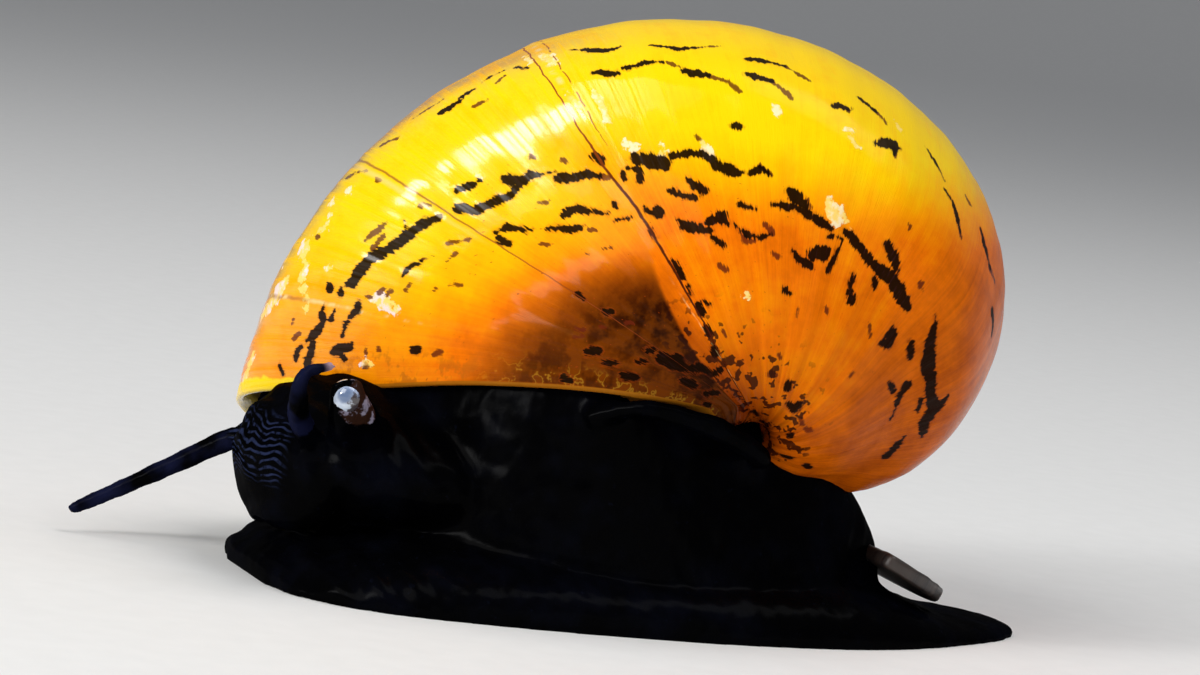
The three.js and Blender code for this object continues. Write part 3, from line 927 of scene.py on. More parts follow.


# %% [markdown]
# ## Glazed amber
#
# The shell turns from bright yellow on top through amber to a deep red-brown at the
# base. This is partly its own colour and partly painted light and shade: painted light
# from above and through the thin lip, and painted shade on the low rear and on the base
# near the mouth. `age` and `row` make a grid that bends with the shell, so a noise
# stretched along it always runs the way the shell grew. All that makes the shell lighter
# or darker is gathered in one number, the tone, and a ramp turns it into colour. Colours
# mixed patch by patch would do too, but with a ramp they stay the colours of one shell.

# %% Ground colour of the shell
AMBER = [
    (0.0, (0.36, 0.055, 0.001)),
    (0.25, (0.78, 0.155, 0.001)),
    (0.5, (0.93, 0.31, 0.001)),
    (0.75, (0.95, 0.46, 0.001)),
    (1.0, (0.96, 0.63, 0.002)),
]
amber, shader, wire = start_material("glazed_amber")
age, at_row = attribute(wire, "age"), attribute(wire, "row")
here = place_of(wire)
height = parts_of(here)[2] * 1000.0
growth = joined(age * 0.35, at_row * 0.9)
fine = grain(growth, 5.0, 3.0, 0.6)
cloudy = grain(joined(age * 0.15, at_row * 0.35), 3.0, 2.0)
mottle = grain(here, 260.0, 3.0, 0.6)
streak = grain(joined(age * 1.1, at_row * 0.3), 1.0, 3.0, 0.6)
blotch = grain(here, 900.0, 4.0, 0.65)

# Partly painted light: the top and the young shell near the lip are lighter, partly by their own
# colour and partly as painted light from above and from the front, which shines through the thin lip.
top = height.rising(12.8, 16.2)
young_colour_and_light = age.rising(75.0, 45.0) * at_row.rising(8.2, 6.4)
# Painted shade: the low rear of the whorl and the base near the mouth are made darker.
shaded_low_rear = age.rising(125.0, 165.0) * height.rising(15.0, 11.5)
shaded_base_near_mouth = at_row.rising(7.4, 8.4) * age.rising(62.0, 50.0)
front = at_row.rising(5.7, 4.6) * age.rising(60.0, 30.0)
near_lip = age.rising(25.0, 3.0) * at_row.rising(8.2, 6.6)
shoulder = at_row.rising(5.75, 5.35) * age.rising(75.0, 55.0)
tone = 0.27 + top.most(young_colour_and_light) * 0.73 - shaded_low_rear * 0.14 - shaded_base_near_mouth * 0.17
tone = tone - front * 0.16 - near_lip * 0.50 - shoulder * 0.25
streaky = 0.3 + at_row.rising(8.6, 7.4) * 0.7
tone = tone + (cloudy - 0.5) * 0.16 + (mottle - 0.5) * 0.16 + (fine - 0.5) * 0.04
tone = tone + (streak - 0.5) * streaky * 0.20 + (blotch - 0.5) * 0.40
colour = wire.node("ShaderNodeValToRGB", {"stops": AMBER}, {0: tone})

# %% [markdown]
# Low down near the mouth the black body stands behind the shell and darkens it, as far as
# a slanting line where the shell leaves the body. Real see-through shell would need light
# to travel in it. Two brown glazes of painted shade stop at this line: they look the same
# and render fast. Low on the base the shell also turns darker towards the axis.

# %% Painted shade where the body shows through the base
base_dark = (at_row + (mottle - 0.5) * 1.2).rising(8.4, 9.8)
colour = over(colour, (0.17, 0.020, 0.001), base_dark * 0.8)
over_body = (age + at_row * 9.8 + (mottle - 0.5) * 2.0).rising(134.6, 132.6)
warm_shade = over_body * age.rising(12.0, 42.0) * at_row.rising(7.65, 8.6)
colour = over(colour, (0.065, 0.006, 0.0008), warm_shade * 0.93)
dark_shade = over_body * (at_row + (mottle - 0.5) * 0.6).rising(7.6, 8.5)
dark_shade = dark_shade * age.rising(-1.0, 1.0)
# The painted shade low on the base is broken into dark clots.
clots = grain(here, 1500.0, 3.0, 0.6)
clotted_shade = over((0.105, 0.022, 0.001), (0.010, 0.0015, 0.0005), clots.rising(0.40, 0.64))
clotted_shade = over(clotted_shade, (0.25, 0.12, 0.008), clots.near(0.46, 0.03) * age.rising(12.0, 2.0))
colour = over(colour, clotted_shade, dark_shade * 0.9)

# %% [markdown]
# Near the lip the glaze is worn away and the chalky layer under it shows. Some pale spots
# are strokes, partly worn spots and partly painted highlight where the shell shines, and
# the rest are worn spots from a noise that is stronger towards the front. One crust noise
# breaks the edges of both, so they can't be told apart.

# %% Worn patches and painted highlights
crust = (grain(here, 1300.0, 4.0, 0.7) - 0.5) * 1.1
chalk = attribute(wire, "chalk") + crust - age.rising(30.0, 10.0) * 0.06
patchy = grain(growth, 3.0, 4.0)
bleached = age.rising(36.0, 2.0) * at_row.rising(6.0, 4.2) * 0.75 + patchy * 0.9 - crust * 0.7
worn_and_highlit = chalk.rising(0.03, -0.02).most(bleached.rising(1.10, 1.18))
# The pale colour is chalky wear, and at some strokes a painted highlight.
chalk_and_highlight_colour = over((0.93, 0.80, 0.50), (0.90, 0.76, 0.74), age.rising(30.0, 15.0))
chalk_and_highlight_colour = over((0.95, 0.68, 0.16), chalk_and_highlight_colour, crust.rising(0.0, -0.12))
colour = over(colour, chalk_and_highlight_colour, worn_and_highlit * 0.9)
stained = grain(here, 1400.0, 3.0, 0.65).rising(0.50, 0.60)
stained = stained * age.rising(9.0, 3.0) * at_row.rising(6.2, 7.0) * at_row.rising(8.4, 7.8)
colour = over(colour, (0.42, 0.10, 0.004), stained * 0.6)

# %% [markdown]
# The dashes are pigment that the snail laid down at its lip, so their edges are combed
# along the growth lines. The stored distance is shifted by a few noises on that grid and
# then cut. Small flecks between them come from a noise drawn out the same way.

# %% Dashes and flecks
low_half = at_row.rising(6.3, 7.2)
comb = grain(joined(age * 2.2, at_row * 6.0), 1.0, 3.0, 0.6)
flake = grain(joined(age * 0.9, at_row * 2.4), 1.0, 2.0)
crumb = grain(here, 2000.0, 3.0, 0.65)
ragged = (comb - 0.5) * 0.28 + (flake - 0.5) * 0.22 + (crumb - 0.5) * 0.30
rust = (attribute(wire, "rust") + ragged * 0.8).rising(0.03, -0.03)
ink_edge = attribute(wire, "ink") + ragged
ink = ink_edge.rising(0.018, -0.008)
halo = ink_edge.rising(0.09, 0.0) * 0.45
flecks = grain(joined(age * 0.5, at_row * 17.0), 1.6, 2.0).rising(0.70, 0.74)
flecks = flecks * at_row.rising(6.3, 7.0) * over_body.most(low_half)
colour = over(colour, (0.30, 0.04, 0.004), (flecks * 0.7).most(halo))
colour = over(colour, (0.11, 0.013, 0.004), rust * 0.9)
# Painted sheen: a purple tint combed into the dark dashes.
ink_with_sheen = over((0.002, 0.0006, 0.0006), (0.026, 0.008, 0.014), comb.rising(0.56, 0.7) * 0.6)
colour = over(colour, ink_with_sheen, ink * 0.98)
specks = (grain(here, 2400.0, 2.0, 0.6) + at_row.rising(8.2, 9.2) * 0.08).rising(0.62, 0.66)
specks = specks * at_row.rising(8.1, 8.7) * age.rising(28.0, 45.0)
colour = over(colour, (0.02, 0.003, 0.002), specks * 0.9)

# %% [markdown]
# The growth halts are thin dark lines at fixed ages, with dirt in them and a paler, chipped
# side. A straight line would look drawn, so a slow noise lets each wander, and a second
# one breaks it into blots.

# %% Growth halts
wander = (grain(joined(at_row * 3.0, age * 0.02), 2.0, 3.0) - 0.5) * 1.1
wandered, half_wandered = age + wander, age + wander * 0.5
blotted = grain(joined(at_row * 5.0, age * 0.05), 2.0, 3.0)
bent = at_row.rising(6.6, 7.5) * 1.7 - at_row.rising(8.6, 9.2) * 4.0
old_scar = (wandered - bent).near(OLD_SCAR, 0.24 + low_half * 0.6) * (0.40 + blotted * 1.1)
twin_scar = wandered.near(OLD_SCAR + 2.8, 0.24) * at_row.rising(7.0, 6.4)
twin_scar = twin_scar * blotted.rising(0.4, 0.5)
middle_scar = half_wandered.near(MIDDLE_SCAR, 0.32)
young_scar = wandered.near(YOUNG_SCAR, 0.5)
scar_tint = over((0.30, 0.055, 0.005), (0.07, 0.008, 0.002), low_half)
colour = over(colour, scar_tint, old_scar.most(twin_scar * 0.7).rising(0.1, 0.75))
thin_scars = (middle_scar * 0.8).most(young_scar * at_row.rising(6.5, 6.1) * 0.6)
colour = over(colour, (0.26, 0.045, 0.008), thin_scars)

broken = blotted.rising(0.45, 0.6)
above_scar = wandered.near(OLD_SCAR + 1.4, 0.8) * at_row.rising(6.8, 5.9) * at_row.rising(4.4, 5.2)
below_scar = wandered.near(OLD_SCAR - 1.2, 0.7) * at_row.rising(8.0, 8.6)
beside_middle = half_wandered.near(MIDDLE_SCAR - 1.0, 0.7) * at_row.rising(7.2, 6.2)
pale_side = (above_scar * broken).most(below_scar * broken * 0.5).most(beside_middle * 0.6)
pale_side = pale_side.most(young_scar * broken * at_row.rising(7.4, 6.6))
colour = over(colour, (0.93, 0.66, 0.25), pale_side * 0.8)

# %% [markdown]
# The freshest shell is a yellow rim at the lip, brown and thin along the inner lip, and
# the inside is lined with a dull buff layer.

# %% Rim and lining
rim_edge = age + (grain(here, 1600.0, 3.0) - 0.5) * 1.6 + at_row.rising(5.9, 6.9) * 0.6
colour = over(colour, (0.97, 0.68, 0.004), rim_edge.rising(1.6, 1.2) * 0.95 * at_row.rising(6.9, 6.4))
colour = over(colour, (0.30, 0.11, 0.006), age.rising(0.5, 0.2) * 0.8 * at_row.rising(6.4, 7.0))
colour = over(colour, (0.30, 0.19, 0.05), age.rising(-0.5, -2.0))
feed(colour, shader, "Base Color")

# %% [markdown]
# A wet shell shines through a clear coat. The coat is strong only on the polished band
# round the shoulder, broken by the streaks, and weak elsewhere, so the highlight keeps
# the ragged edge that it has on the real shell. The fine relief is bump, because it is
# far thinner than the sheet's faces.

# %% Gloss and fine relief of the shell
matt = ink.most(worn_and_highlit)
feed(0.24 + matt * 0.22 + (mottle - 0.5) * 0.06, shader, "Roughness")
polish = at_row.rising(6.95, 6.55) * at_row.rising(5.0, 5.4) * age.rising(80.0, 62.0)
gloss = streak.rising(0.34, 0.58) * blotch.rising(0.27, 0.50) * polish
feed((0.045 + gloss * 0.95) * (1.0 - matt * 0.6), shader, "Coat Weight")
shader.inputs["Specular IOR Level"].default_value = 0.07
shader.inputs["Specular Tint"].default_value = (1.0, 0.5, 0.06, 1)
shader.inputs["Coat Roughness"].default_value = 0.1
ridges = (fine - 0.5) * 0.6 + (grain(joined(age * 1.2, at_row * 0.8), 5.0, 2.0) - 0.5) * 0.5
ridges = ridges * (0.15 + at_row.rising(8.9, 7.8) * 0.85) + (blotch - 0.5) * 0.5
grooves = ink * 0.3 + old_scar * low_half * 1.2 + middle_scar * 0.8
raised(ridges - grooves + worn_and_highlit * 0.5, shader, 0.016)
finished("glazed_shell", shell_skin, amber, ["shell"])

# %% [markdown]
# ## The wet body
#
# Foot, body, head, eye stalks and feelers are one soft animal with no seams. They are
# made as separate closed skins that pass through each other, in the way a sculptor starts
# with lumps of clay. A voxel remesh melts them into one skin, smoothing rounds the joins,
# and then the folds and wrinkles are pushed in along the skin's own normals.
#
# The foot comes first: a long oval sole with a thin edge, highest in the middle, where
# the body stands on it. It is given as rings from the front to the tail, each one a
# (place along Y, half width, height).

# %% Foot
FOOT = [
    (-12.3, 2.4, 0.5),
    (-11.6, 4.6, 1.1),
    (-9.4, 6.4, 1.8),
    (-5.0, 7.3, 2.3),
    (0.5, 7.5, 2.6),
    (5.0, 6.9, 2.4),
    (7.6, 6.1, 2.0),
    (9.6, 5.1, 1.2),
    (11.4, 3.9, 0.65),
    (13.2, 2.5, 0.5),
    (14.4, 1.1, 0.35),
]


def foot_ring(y, half, height):
    """One ring of the foot: a round back over a flat sole with a thin edge."""
    over_back = np.linspace(0, math.pi, 40)
    side = np.sign(np.cos(over_back)) * np.abs(np.cos(over_back)) ** 0.8
    lift = np.sin(over_back) ** 0.8
    sole = np.linspace(-1, 1, 20)[1:-1]
    x = np.concatenate([side, sole]) * half
    z = np.concatenate([lift * height, np.zeros(len(sole))])
    return np.stack([x, np.full(len(x), y), z], -1)


foot = rolled([foot_ring(*station) for station in smooth_curve(FOOT, 8)])
print("foot:", len(foot.faces), "faces")

# %% [markdown]
# The body fills the room between the foot and the shell's mouth. A convex hull over the
# foot's oval, the ring of the mouth and a few points on the flank makes it in one step.
# The mantle lines the shell behind the mouth, so it takes its rings from the growth law.

# %% Body and mantle
BODY_OVAL = dict(middle=(0.2, 0.4, 1.0), half_width=6.3, half_length=8.8)
BODY_SHARE, MANTLE_SHARE = 0.92, 0.905  # the flesh in the shell, as shares of its outline
MANTLE_TURNS = (0, 6, 12, 20, 28)  # degrees behind the lip
UNDER_SHELL = [  # points of the flank that shows below the shell
    (5.6, 1.2, 7.4),
    (5.4, 3.6, 6.2),
    (4.2, 5.9, 5.1),
    (2.6, 7.3, 4.5),
    (0.0, 8.0, 4.3),
    (-3.6, 8.0, 4.3),
    (-5.6, 6.8, 4.3),
    (2.4, 8.3, 3.0),
    (-1.0, 8.9, 3.0),
    (-3.6, 8.7, 3.0),
]
mouth_ring = narrowed(BODY_SHARE)
mouth_turn = mouth_angle(mouth_ring)
body = bmesh.new()
oval = bmesh.ops.create_circle(body, segments=60, radius=1)["verts"]
bmesh.ops.scale(body, verts=oval, vec=(BODY_OVAL["half_width"], BODY_OVAL["half_length"], 1))
bmesh.ops.translate(body, verts=oval, vec=BODY_OVAL["middle"])
for point in [*in_place(carried(mouth_ring, mouth_turn))[::4], *UNDER_SHELL]:
    body.verts.new(point)
hull = bmesh.ops.convex_hull(body, input=body.verts)
bmesh.ops.delete(body, geom=hull["geom_interior"], context="VERTS")
mantle_outline = narrowed(MANTLE_SHARE)
mantle_angles = [mouth_turn - math.radians(turn_back) for turn_back in MANTLE_TURNS]
mantle = rolled([in_place(carried(mantle_outline, angle)) for angle in mantle_angles])
print("body:", len(body.faces), "faces, mantle:", len(mantle.faces))

# %% [markdown]
# The head is a thick tongue that ends in a broad muzzle, bent down to feed. Its rings
# stand square to a curve in the middle plane, and roll a little, the left side up, as the
# real head does. Each station is (Y, Z, half width, half thickness).

# %% Head and snout
HEAD = [
    (-3.6, 3.8, 3.4, 1.4),
    (-7.0, 4.2, 4.2, 1.9),
    (-9.5, 4.3, 4.0, 2.05),
    (-10.85, 3.95, 3.5, 1.72),
    (-11.25, 3.0, 3.1, 1.2),
    (-11.35, 2.2, 2.7, 0.8),
    (-11.3, 1.6, 1.9, 0.4),
]
HEAD_ROLL = math.radians(12)
head_line = smooth_curve(HEAD, 10)
head_rings = []
for i, (y, z, half, thick) in enumerate(head_line):
    before, after = head_line[max(i - 1, 0)], head_line[min(i + 1, len(head_line) - 1)]
    ahead = Vector((0, after[0] - before[0], after[1] - before[1])).normalized()
    above = Vector((1, 0, 0)).cross(ahead).normalized()
    across = Vector((1, 0, 0)) * math.cos(HEAD_ROLL) + above * math.sin(HEAD_ROLL)
    above = above * math.cos(HEAD_ROLL) - Vector((1, 0, 0)) * math.sin(HEAD_ROLL)
    around = np.linspace(0, 2 * math.pi, 49)[:-1, None]
    spread = np.cos(around) * half * np.array(across) + np.sin(around) * thick * np.array(above)
    head_rings.append(np.array((0, y, z)) + spread)
head = rolled(head_rings)
print("head:", len(head.faces), "faces")

# %% [markdown]
# Feelers, eye stalks, lips and lids are all round arms that follow a bent path and grow
# thinner. A curve with a bevel could make them, but rings along the path use the same
# sheet as the rest and let the tip be rounded.


# %% An arm along a path
def arm(path, thick_root, thick_tip):
    """A round arm along a path, narrowing to a rounded tip."""
    line = smooth_curve(path, 10)
    rings = []
    count = len(line) - 1
    for i, middle in enumerate(line):
        ahead = Vector(line[min(i + 1, count)] - line[max(i - 1, 0)]).normalized()
        side = ahead.cross(Vector((0.3, 0.2, 1))).normalized()
        above = side.cross(ahead)
        radius = thick_root + (thick_tip - thick_root) * i / count
        around = np.linspace(0, 2 * math.pi, 25)[:-1, None]
        spread = np.cos(around) * np.array(side) + np.sin(around) * np.array(above)
        rings.append(middle + spread * radius)
    for drop in (0.45, 0.8):
        beyond = line[-1] + np.array(ahead) * thick_tip * drop
        rings.append(beyond + spread * radius * math.cos(drop))
    return rolled(rings)


# %% Feelers and eye stalks
LEFT_FEELER = [
    (2.5, -11.2, 4.5),
    (3.54, -12.12, 5.48),
    (4.58, -12.53, 6.15),
    (4.97, -12.68, 6.72),
    (4.8, -12.39, 7.1),
    (4.52, -11.59, 7.28),
]
RIGHT_FEELER = [
    (-2.6, -10.9, 4.6),
    (-4.0, -12.4, 3.57),
    (-4.5, -13.5, 2.81),
    (-4.8, -14.5, 2.17),
    (-5.2, -15.6, 1.45),
    (-5.5, -16.7, 0.8),
]
LEFT_EYE, RIGHT_EYE = (4.33, -10.93, 6.37), (-4.95, -10.75, 3.15)
LEFT_SOCKET = (4.4, -10.5, 6.28)
LEFT_LID = [(4.40, -11.46, 6.45), (4.51, -11.36, 6.66), (4.69, -11.05, 6.80), (4.5, -10.6, 6.82)]
feelers = [arm(LEFT_FEELER, 0.43, 0.16), arm(RIGHT_FEELER, 0.41, 0.23)]
stalks = [
    arm([(2.7, -9.7, 4.8), (3.6, -10.4, 5.65), (4.27, -10.87, 6.28)], 1.0, 0.6),
    arm([(-2.9, -9.9, 3.6), (-4.0, -10.4, 3.35), (-4.85, -10.72, 3.17)], 1.0, 0.6),
    arm(LEFT_LID, 0.17, 0.17),
]
print("feelers and stalks:", [len(skin.faces) for skin in feelers + stalks], "faces")

# %% [markdown]
# The mouth is a slit between two soft lips at the front of the snout. Two short rolls laid
# across it, one over the other, leave the line of the mouth between them.

# %% Lips
LIP_ROLLS = [(2.72, 0.24), (1.9, 0.26)]  # height of each roll, and its radius
lips = []
for lift, thick in LIP_ROLLS:
    bow = [(-1.5, -11.6, lift - 0.3), (-0.8, -11.95, lift - 0.1), (0, -12.05, lift)]
    bow += [(-x, y, 2 * lift - z) for x, y, z in bow[1::-1]]
    lips.append(arm(bow, thick, thick))
print("lips:", [len(skin.faces) for skin in lips], "faces")

# %% [markdown]
# A fold of the mantle laps over the inner lip of the shell, where the animal leaves its
# mouth. It is one more soft arm, laid along that edge.

# %% Mantle fold
FOLD = [
    (5.9, -3.6, 6.5),
    (6.6, -2.7, 7.02),
    (6.98, -2.1, 7.16),
    (7.08, -1.6, 7.13),
    (7.15, -1.0, 7.02),
    (7.2, -0.3, 6.9),
    (7.15, 0.5, 6.7),
    (6.9, 1.4, 6.3),
    (6.3, 2.3, 5.8),
]
collar = arm(FOLD, 0.36, 0.5)
print("mantle fold:", len(collar.faces), "faces")

# %% [markdown]
# The lumps are joined in one object and remeshed. The work is done in millimetres, so a
# voxel of 0.135 is a sixth of a feeler's thickness.

# %% One skin
VOXEL = 0.135
clay = bpy.data.meshes.new("clay")
lump = bmesh.new()
for part in (foot, body, mantle, collar, head, *feelers, *stalks, *lips):
    part.to_mesh(clay)
    lump.from_mesh(clay)
    part.free()
lump.to_mesh(clay)
lump.free()
clay_piece = bpy.data.objects.new("clay", clay)
scene.collection.objects.link(clay_piece)
remesh = clay_piece.modifiers.new("melt", "REMESH")
remesh.mode = "VOXEL"
remesh.voxel_size = VOXEL
melted = clay_piece.evaluated_get(bpy.context.evaluated_depsgraph_get())
skin = bmesh.new()
skin.from_mesh(melted.to_mesh())
melted.to_mesh_clear()
bpy.data.objects.remove(clay_piece)
bpy.data.meshes.remove(clay)
print("melted skin:", len(skin.faces), "faces")

# %% [markdown]
# Smoothing shrinks what is thin, so the feelers get only three rounds and the rest nine.
# The broad flank under the shell gets thirty more, which take the hull's corners away.

# %% Smooth the joins
slender = []
for path in (LEFT_FEELER[1:], RIGHT_FEELER[1:]):
    line = [(np.array(p), 0.4) for p in path]
    slender += list(zip(line, line[1:]))
skin.verts.ensure_lookup_table()
on_feeler = distance_to(np.array([v.co for v in skin.verts]), slender) < 0.2
thick = [v for v, thin in zip(skin.verts, on_feeler) if not thin]
flank = [v for v in thick if v.co.y > -6 and v.co.z > 2.4]
for rounds, verts in ((3, skin.verts), (6, thick), (30, flank)):
    for _ in range(rounds):
        bmesh.ops.smooth_vert(
            skin, verts=verts, factor=0.5, use_axis_x=True, use_axis_y=True, use_axis_z=True
        )
skin.normal_update()
print("points on the feelers:", int(on_feeler.sum()), "of", len(skin.verts))

# %% [markdown]
# The muzzle has regular cross folds, and all the skin has an uneven surface. Both move
# the points along their normals and fade out at the sole, which stays flat on the floor.


# %% Folds and wrinkles
def part_way(value, low, high):
    """How far a value has come from low to high, from 0 to 1; low may be the larger."""
    return min(max((value - low) / (high - low), 0), 1)


FOLD_DEPTH, WRINKLE_DEPTH = 0.055, 0.035
FOLD_WAVE = 5.2  # radians for each millimetre
SOLE = 0.06  # what is lower than this is laid flat on the floor
for vert, thin in zip(skin.verts, on_feeler):
    x, y, z = vert.co
    fold = math.sin(FOLD_WAVE * (y + 0.55 * z) + 1.6 * noise.noise(Vector((x, y, z)) * 0.5))
    wrinkle = noise.fractal(Vector((x, y * 1.3, z)) * 1.1, 1.0, 2.0, 3)
    strength = part_way(z, 0, 0.4) * (0.2 if thin else 1)
    depth = FOLD_DEPTH * fold * part_way(y, -6.5, -9.5) + WRINKLE_DEPTH * wrinkle
    vert.co += vert.normal * strength * depth
for vert in skin.verts:
    if vert.co.z < SOLE:
        vert.co.z = 0
print("lowest point:", min(v.co.z for v in skin.verts), "mm")

# %% [markdown]
# The material changes at four places: the pale tip of the left feeler, the blue feelers,
# the ridged muzzle and the skin round the eyes. Each is a number stored on the points,
# which is easier to place than a mask in the material.

# %% Where the skin changes
layers = {n: skin.verts.layers.float.new(n) for n in ("pale", "feeler", "muzzle", "socket")}
for vert, thin in zip(skin.verts, on_feeler):
    x, y, z = vert.co
    vert[layers["pale"]] = part_way((vert.co - Vector(LEFT_FEELER[-1])).length, 0.5, 0)
    vert[layers["feeler"]] = float(thin)
    muzzle = part_way(z, 5.3, 4.8) * part_way(z, 2.9, 3.3) * part_way(x + y, -9.9, -10.7)
    vert[layers["muzzle"]] = muzzle * (y < -9.5) * (not thin)
    nearest_eye = min((vert.co - Vector(at)).length for at in (LEFT_SOCKET, RIGHT_EYE))
    vert[layers["socket"]] = part_way(nearest_eye, 0.95, 0.6)
for name, layer in layers.items():
    print(name, "covers", sum(v[layer] > 0.5 for v in skin.verts), "points")

# %% [markdown]
# The hide is black and wet, so what shows is mostly its relief. A painted blue-grey
# sheen lies on the crests across the muzzle, the feelers are navy with one pale tip, and
# brown skin with pale grains rings the eyes.

# %% Hide material
hide, shader, wire = start_material("wet_black_hide")
here = place_of(wire)
across, _, height = parts_of(here)
pores = grain(here, 2600.0, 4.0, 0.6)
cloud = grain(here, 420.0, 3.0, 0.6)
colour = over((0.0006, 0.0006, 0.0008), (0.0015, 0.0018, 0.004), cloud.rising(0.4, 0.75))
colour = over(colour, (0.006, 0.008, 0.018), pores.rising(0.64, 0.8) * 0.4)
RIDGE_SPACING = 0.20
slope = height * 1000.0 + across * 60.0 + (grain(here, 500.0, 2.0) - 0.5) * 1.5
ridge = (slope * (2 * math.pi / RIDGE_SPACING)).wave()
# Painted sheen: a blue-grey colour on the crests of the muzzle's folds.
crest_sheen = ridge.rising(0.0, 0.9) * pores.rising(0.36, 0.56) * attribute(wire, "muzzle")
colour = over(colour, (0.017, 0.024, 0.062), crest_sheen * 0.9)
navy = cloud.rising(0.42, 0.62) * attribute(wire, "feeler")
colour = over(colour, (0.008, 0.010, 0.036), navy * 0.7)
grains = grain(here, 2200.0, 3.0, 0.65)
lids = over((0.030, 0.012, 0.007), (0.30, 0.27, 0.36), grains.rising(0.50, 0.62))
round_eyes = (attribute(wire, "socket") + (grains - 0.5) * 1.2).rising(0.35, 0.6)
colour = over(colour, lids, round_eyes * 0.85)
colour = over(colour, (0.52, 0.36, 0.44), attribute(wire, "pale").rising(0.1, 0.9) * 0.85)
feed(colour, shader, "Base Color")
feed(0.34 + (pores - 0.5) * 0.25 + (cloud - 0.5) * 0.2, shader, "Roughness")
shader.inputs["Specular IOR Level"].default_value = 0.0
shader.inputs["Coat Weight"].default_value = 0.025
shader.inputs["Coat Roughness"].default_value = 0.2
raised(pores + cloud * 0.6 + ridge * attribute(wire, "muzzle") * 0.45, shader, 0.06)

hard_nodes = ("shell", "operculum", "eye_left", "eye_right")
flesh_nodes = [name for name in frame["nodes"] if name not in hard_nodes]
finished("wet_body", skin, hide, flesh_nodes)

# %% [markdown]
# ## Eyes
#
# Each eye is a pale, bluish bead in a cup at the end of its stalk. A soft grey-blue iris
# shows through it, and dark brown skin creeps over its lower rear side. Both are painted
# by the angle to the direction in which they lie, which each point of the bead stores. An
# iris modelled under a clear dome would be truer, but it is too small here to be seen.

# %% Eye material
pearl, shader, wire = start_material("pale_eye")
facing = attribute(wire, "facing")
here = place_of(wire)
cloud = grain(here, 1800.0, 3.0)
veins = grain(here, 3200.0, 3.0, 0.6)
colour = over((0.66, 0.74, 0.86), (0.30, 0.38, 0.58), cloud.rising(0.38, 0.72))
colour = over(colour, (0.09, 0.14, 0.26), (facing + (cloud - 0.5) * 0.1).rising(0.84, 0.97) * 0.9)
creeping = attribute(wire, "creeping") + (veins - 0.5) * 1.5 + (cloud - 0.5) * 0.6
colour = over(colour, (0.035, 0.014, 0.008), creeping.rising(0.32, 0.52) * 0.93)
colour = over(colour, (0.01, 0.01, 0.015), (facing + (cloud - 0.5) * 0.3).rising(0.10, -0.2))
feed(colour, shader, "Base Color")
shader.inputs["Roughness"].default_value = 0.12
shader.inputs["Coat Weight"].default_value = 1.0
shader.inputs["Coat Roughness"].default_value = 0.03

# %% [markdown]
# The bead is a sphere with its front drawn out a little for the cornea.

# %% Eyes
EYE_RADIUS, CORNEA = 0.54, 0.06


def make_eye(name, place, look, node):
    """An eye at a place, looking in a direction, that stands for a node."""
    bead = bmesh.new()
    bmesh.ops.create_uvsphere(bead, u_segments=40, v_segments=24, radius=EYE_RADIUS)
    look = Vector(look).normalized()
    rear_low = Vector((-look.y * 0.9, abs(look.x) * 0.9, -0.55)).normalized()
    facing_layer = bead.verts.layers.float.new("facing")
    creeping_layer = bead.verts.layers.float.new("creeping")
    for vert in bead.verts:
        toward = vert.co.normalized().dot(look)
        vert[facing_layer] = toward
        vert[creeping_layer] = vert.co.normalized().dot(rear_low)
        vert.co *= 1 + CORNEA * part_way(toward, 0.7, 1)
    bmesh.ops.translate(bead, verts=bead.verts, vec=place)
    finished(name, bead, pearl, [node])


make_eye("left_eye", LEFT_EYE, (0.92, -0.39, 0.12), "eye_left")
make_eye("right_eye", RIGHT_EYE, (-0.9, -0.42, 0.1), "eye_right")

# %% [markdown]
# ## Operculum
#
# The hard lid that closes the shell rides on the back of the foot. It is a half-moon
# plate. A lathe can't make that outline, so it is extruded and bevelled, and its growth
# arcs are low waves round the nucleus near one corner.

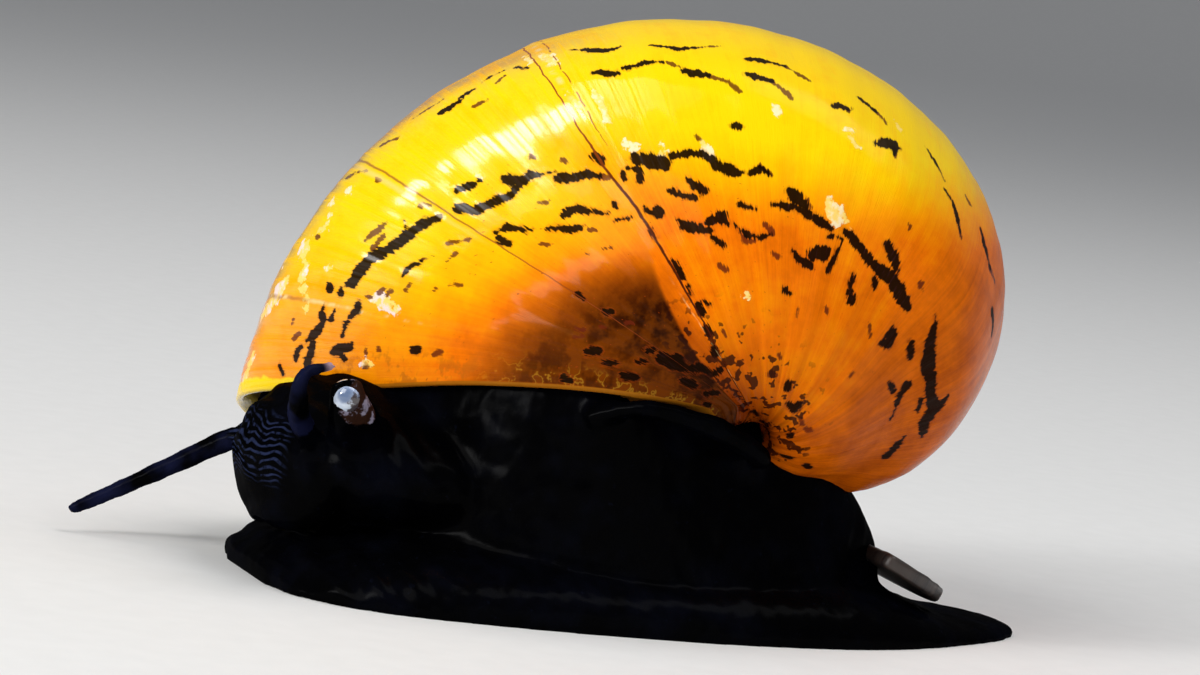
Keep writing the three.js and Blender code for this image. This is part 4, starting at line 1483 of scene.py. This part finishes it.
# %% Operculum
LID = dict(width=8.0, depth=3.9, thickness=0.5, tilt=math.radians(-24), at=(0.6, 7.6, 2.52))
LID_BEVEL, ARC_HEIGHT = 0.14, 0.012
ARC_WAVE = 9  # radians for each millimetre from the nucleus
half = LID["width"] / 2
NUCLEUS = (half * 0.7, 0.5)
lid_outline = smooth_curve(
    [
        (-half + 0.5, 0.02),
        (0, 0),
        (half - 0.5, 0.02),
        (half, 0.6),
        (half * 0.86, 2.0),
        (half * 0.5, 3.35),
        (0, LID["depth"]),
        (-half * 0.5, 3.35),
        (-half * 0.86, 2.0),
        (-half, 0.6),
    ],
    6,
    closed=True,
)
lid = bmesh.new()
plate = lid.faces.new([lid.verts.new((x, y, 0)) for x, y in lid_outline])
extruded = bmesh.ops.extrude_face_region(lid, geom=[plate])["geom"]
risen = [part for part in extruded if isinstance(part, bmesh.types.BMVert)]
bmesh.ops.translate(lid, verts=risen, vec=(0, 0, LID["thickness"]))
bmesh.ops.recalc_face_normals(lid, faces=lid.faces)
edges = [e for e in lid.edges if abs(e.verts[0].co.z - e.verts[1].co.z) < 1e-6]
bmesh.ops.bevel(
    lid, geom=edges, offset=LID_BEVEL, segments=3, profile=0.5, affect="EDGES", material=-1
)
arcs = lid.verts.layers.float.new("arc")
bmesh.ops.triangulate(lid, faces=lid.faces)
bmesh.ops.subdivide_edges(lid, edges=lid.edges, cuts=2, use_grid_fill=True)
for vert in lid.verts:
    vert[arcs] = math.hypot(vert.co.x - NUCLEUS[0], vert.co.y - NUCLEUS[1])
    on_top = vert.co.z > LID["thickness"] / 2
    vert.co.z += ARC_HEIGHT * math.sin(vert[arcs] * ARC_WAVE) * on_top
bmesh.ops.rotate(
    lid, verts=lid.verts, cent=(0, 0, 0), matrix=Matrix.Rotation(LID["tilt"], 3, "X")
)
bmesh.ops.translate(lid, verts=lid.verts, vec=LID["at"])
print("lid:", len(lid.faces), "faces")

# %% [markdown]
# The lid is dark and dull, banded along the same arcs, which each point stores as its
# distance from the nucleus.

# %% Lid material
horn, shader, wire = start_material("grey_horn")
arc = attribute(wire, "arc")
here = place_of(wire)
cloud = grain(here, 500.0, 3.0)
bands = grain(joined(arc * 1.6 + cloud * 0.4, 0.0), 3.0, 3.0)
colour = over((0.045, 0.032, 0.026), (0.012, 0.008, 0.008), bands.rising(0.35, 0.65))
colour = over(colour, (0.10, 0.075, 0.055), cloud.rising(0.6, 0.85) * 0.5)
feed(colour, shader, "Base Color")
feed(0.42 + (cloud - 0.5) * 0.2, shader, "Roughness")
raised(bands, shader, 0.04)
finished("half_moon_lid", lid, horn, ["operculum"])
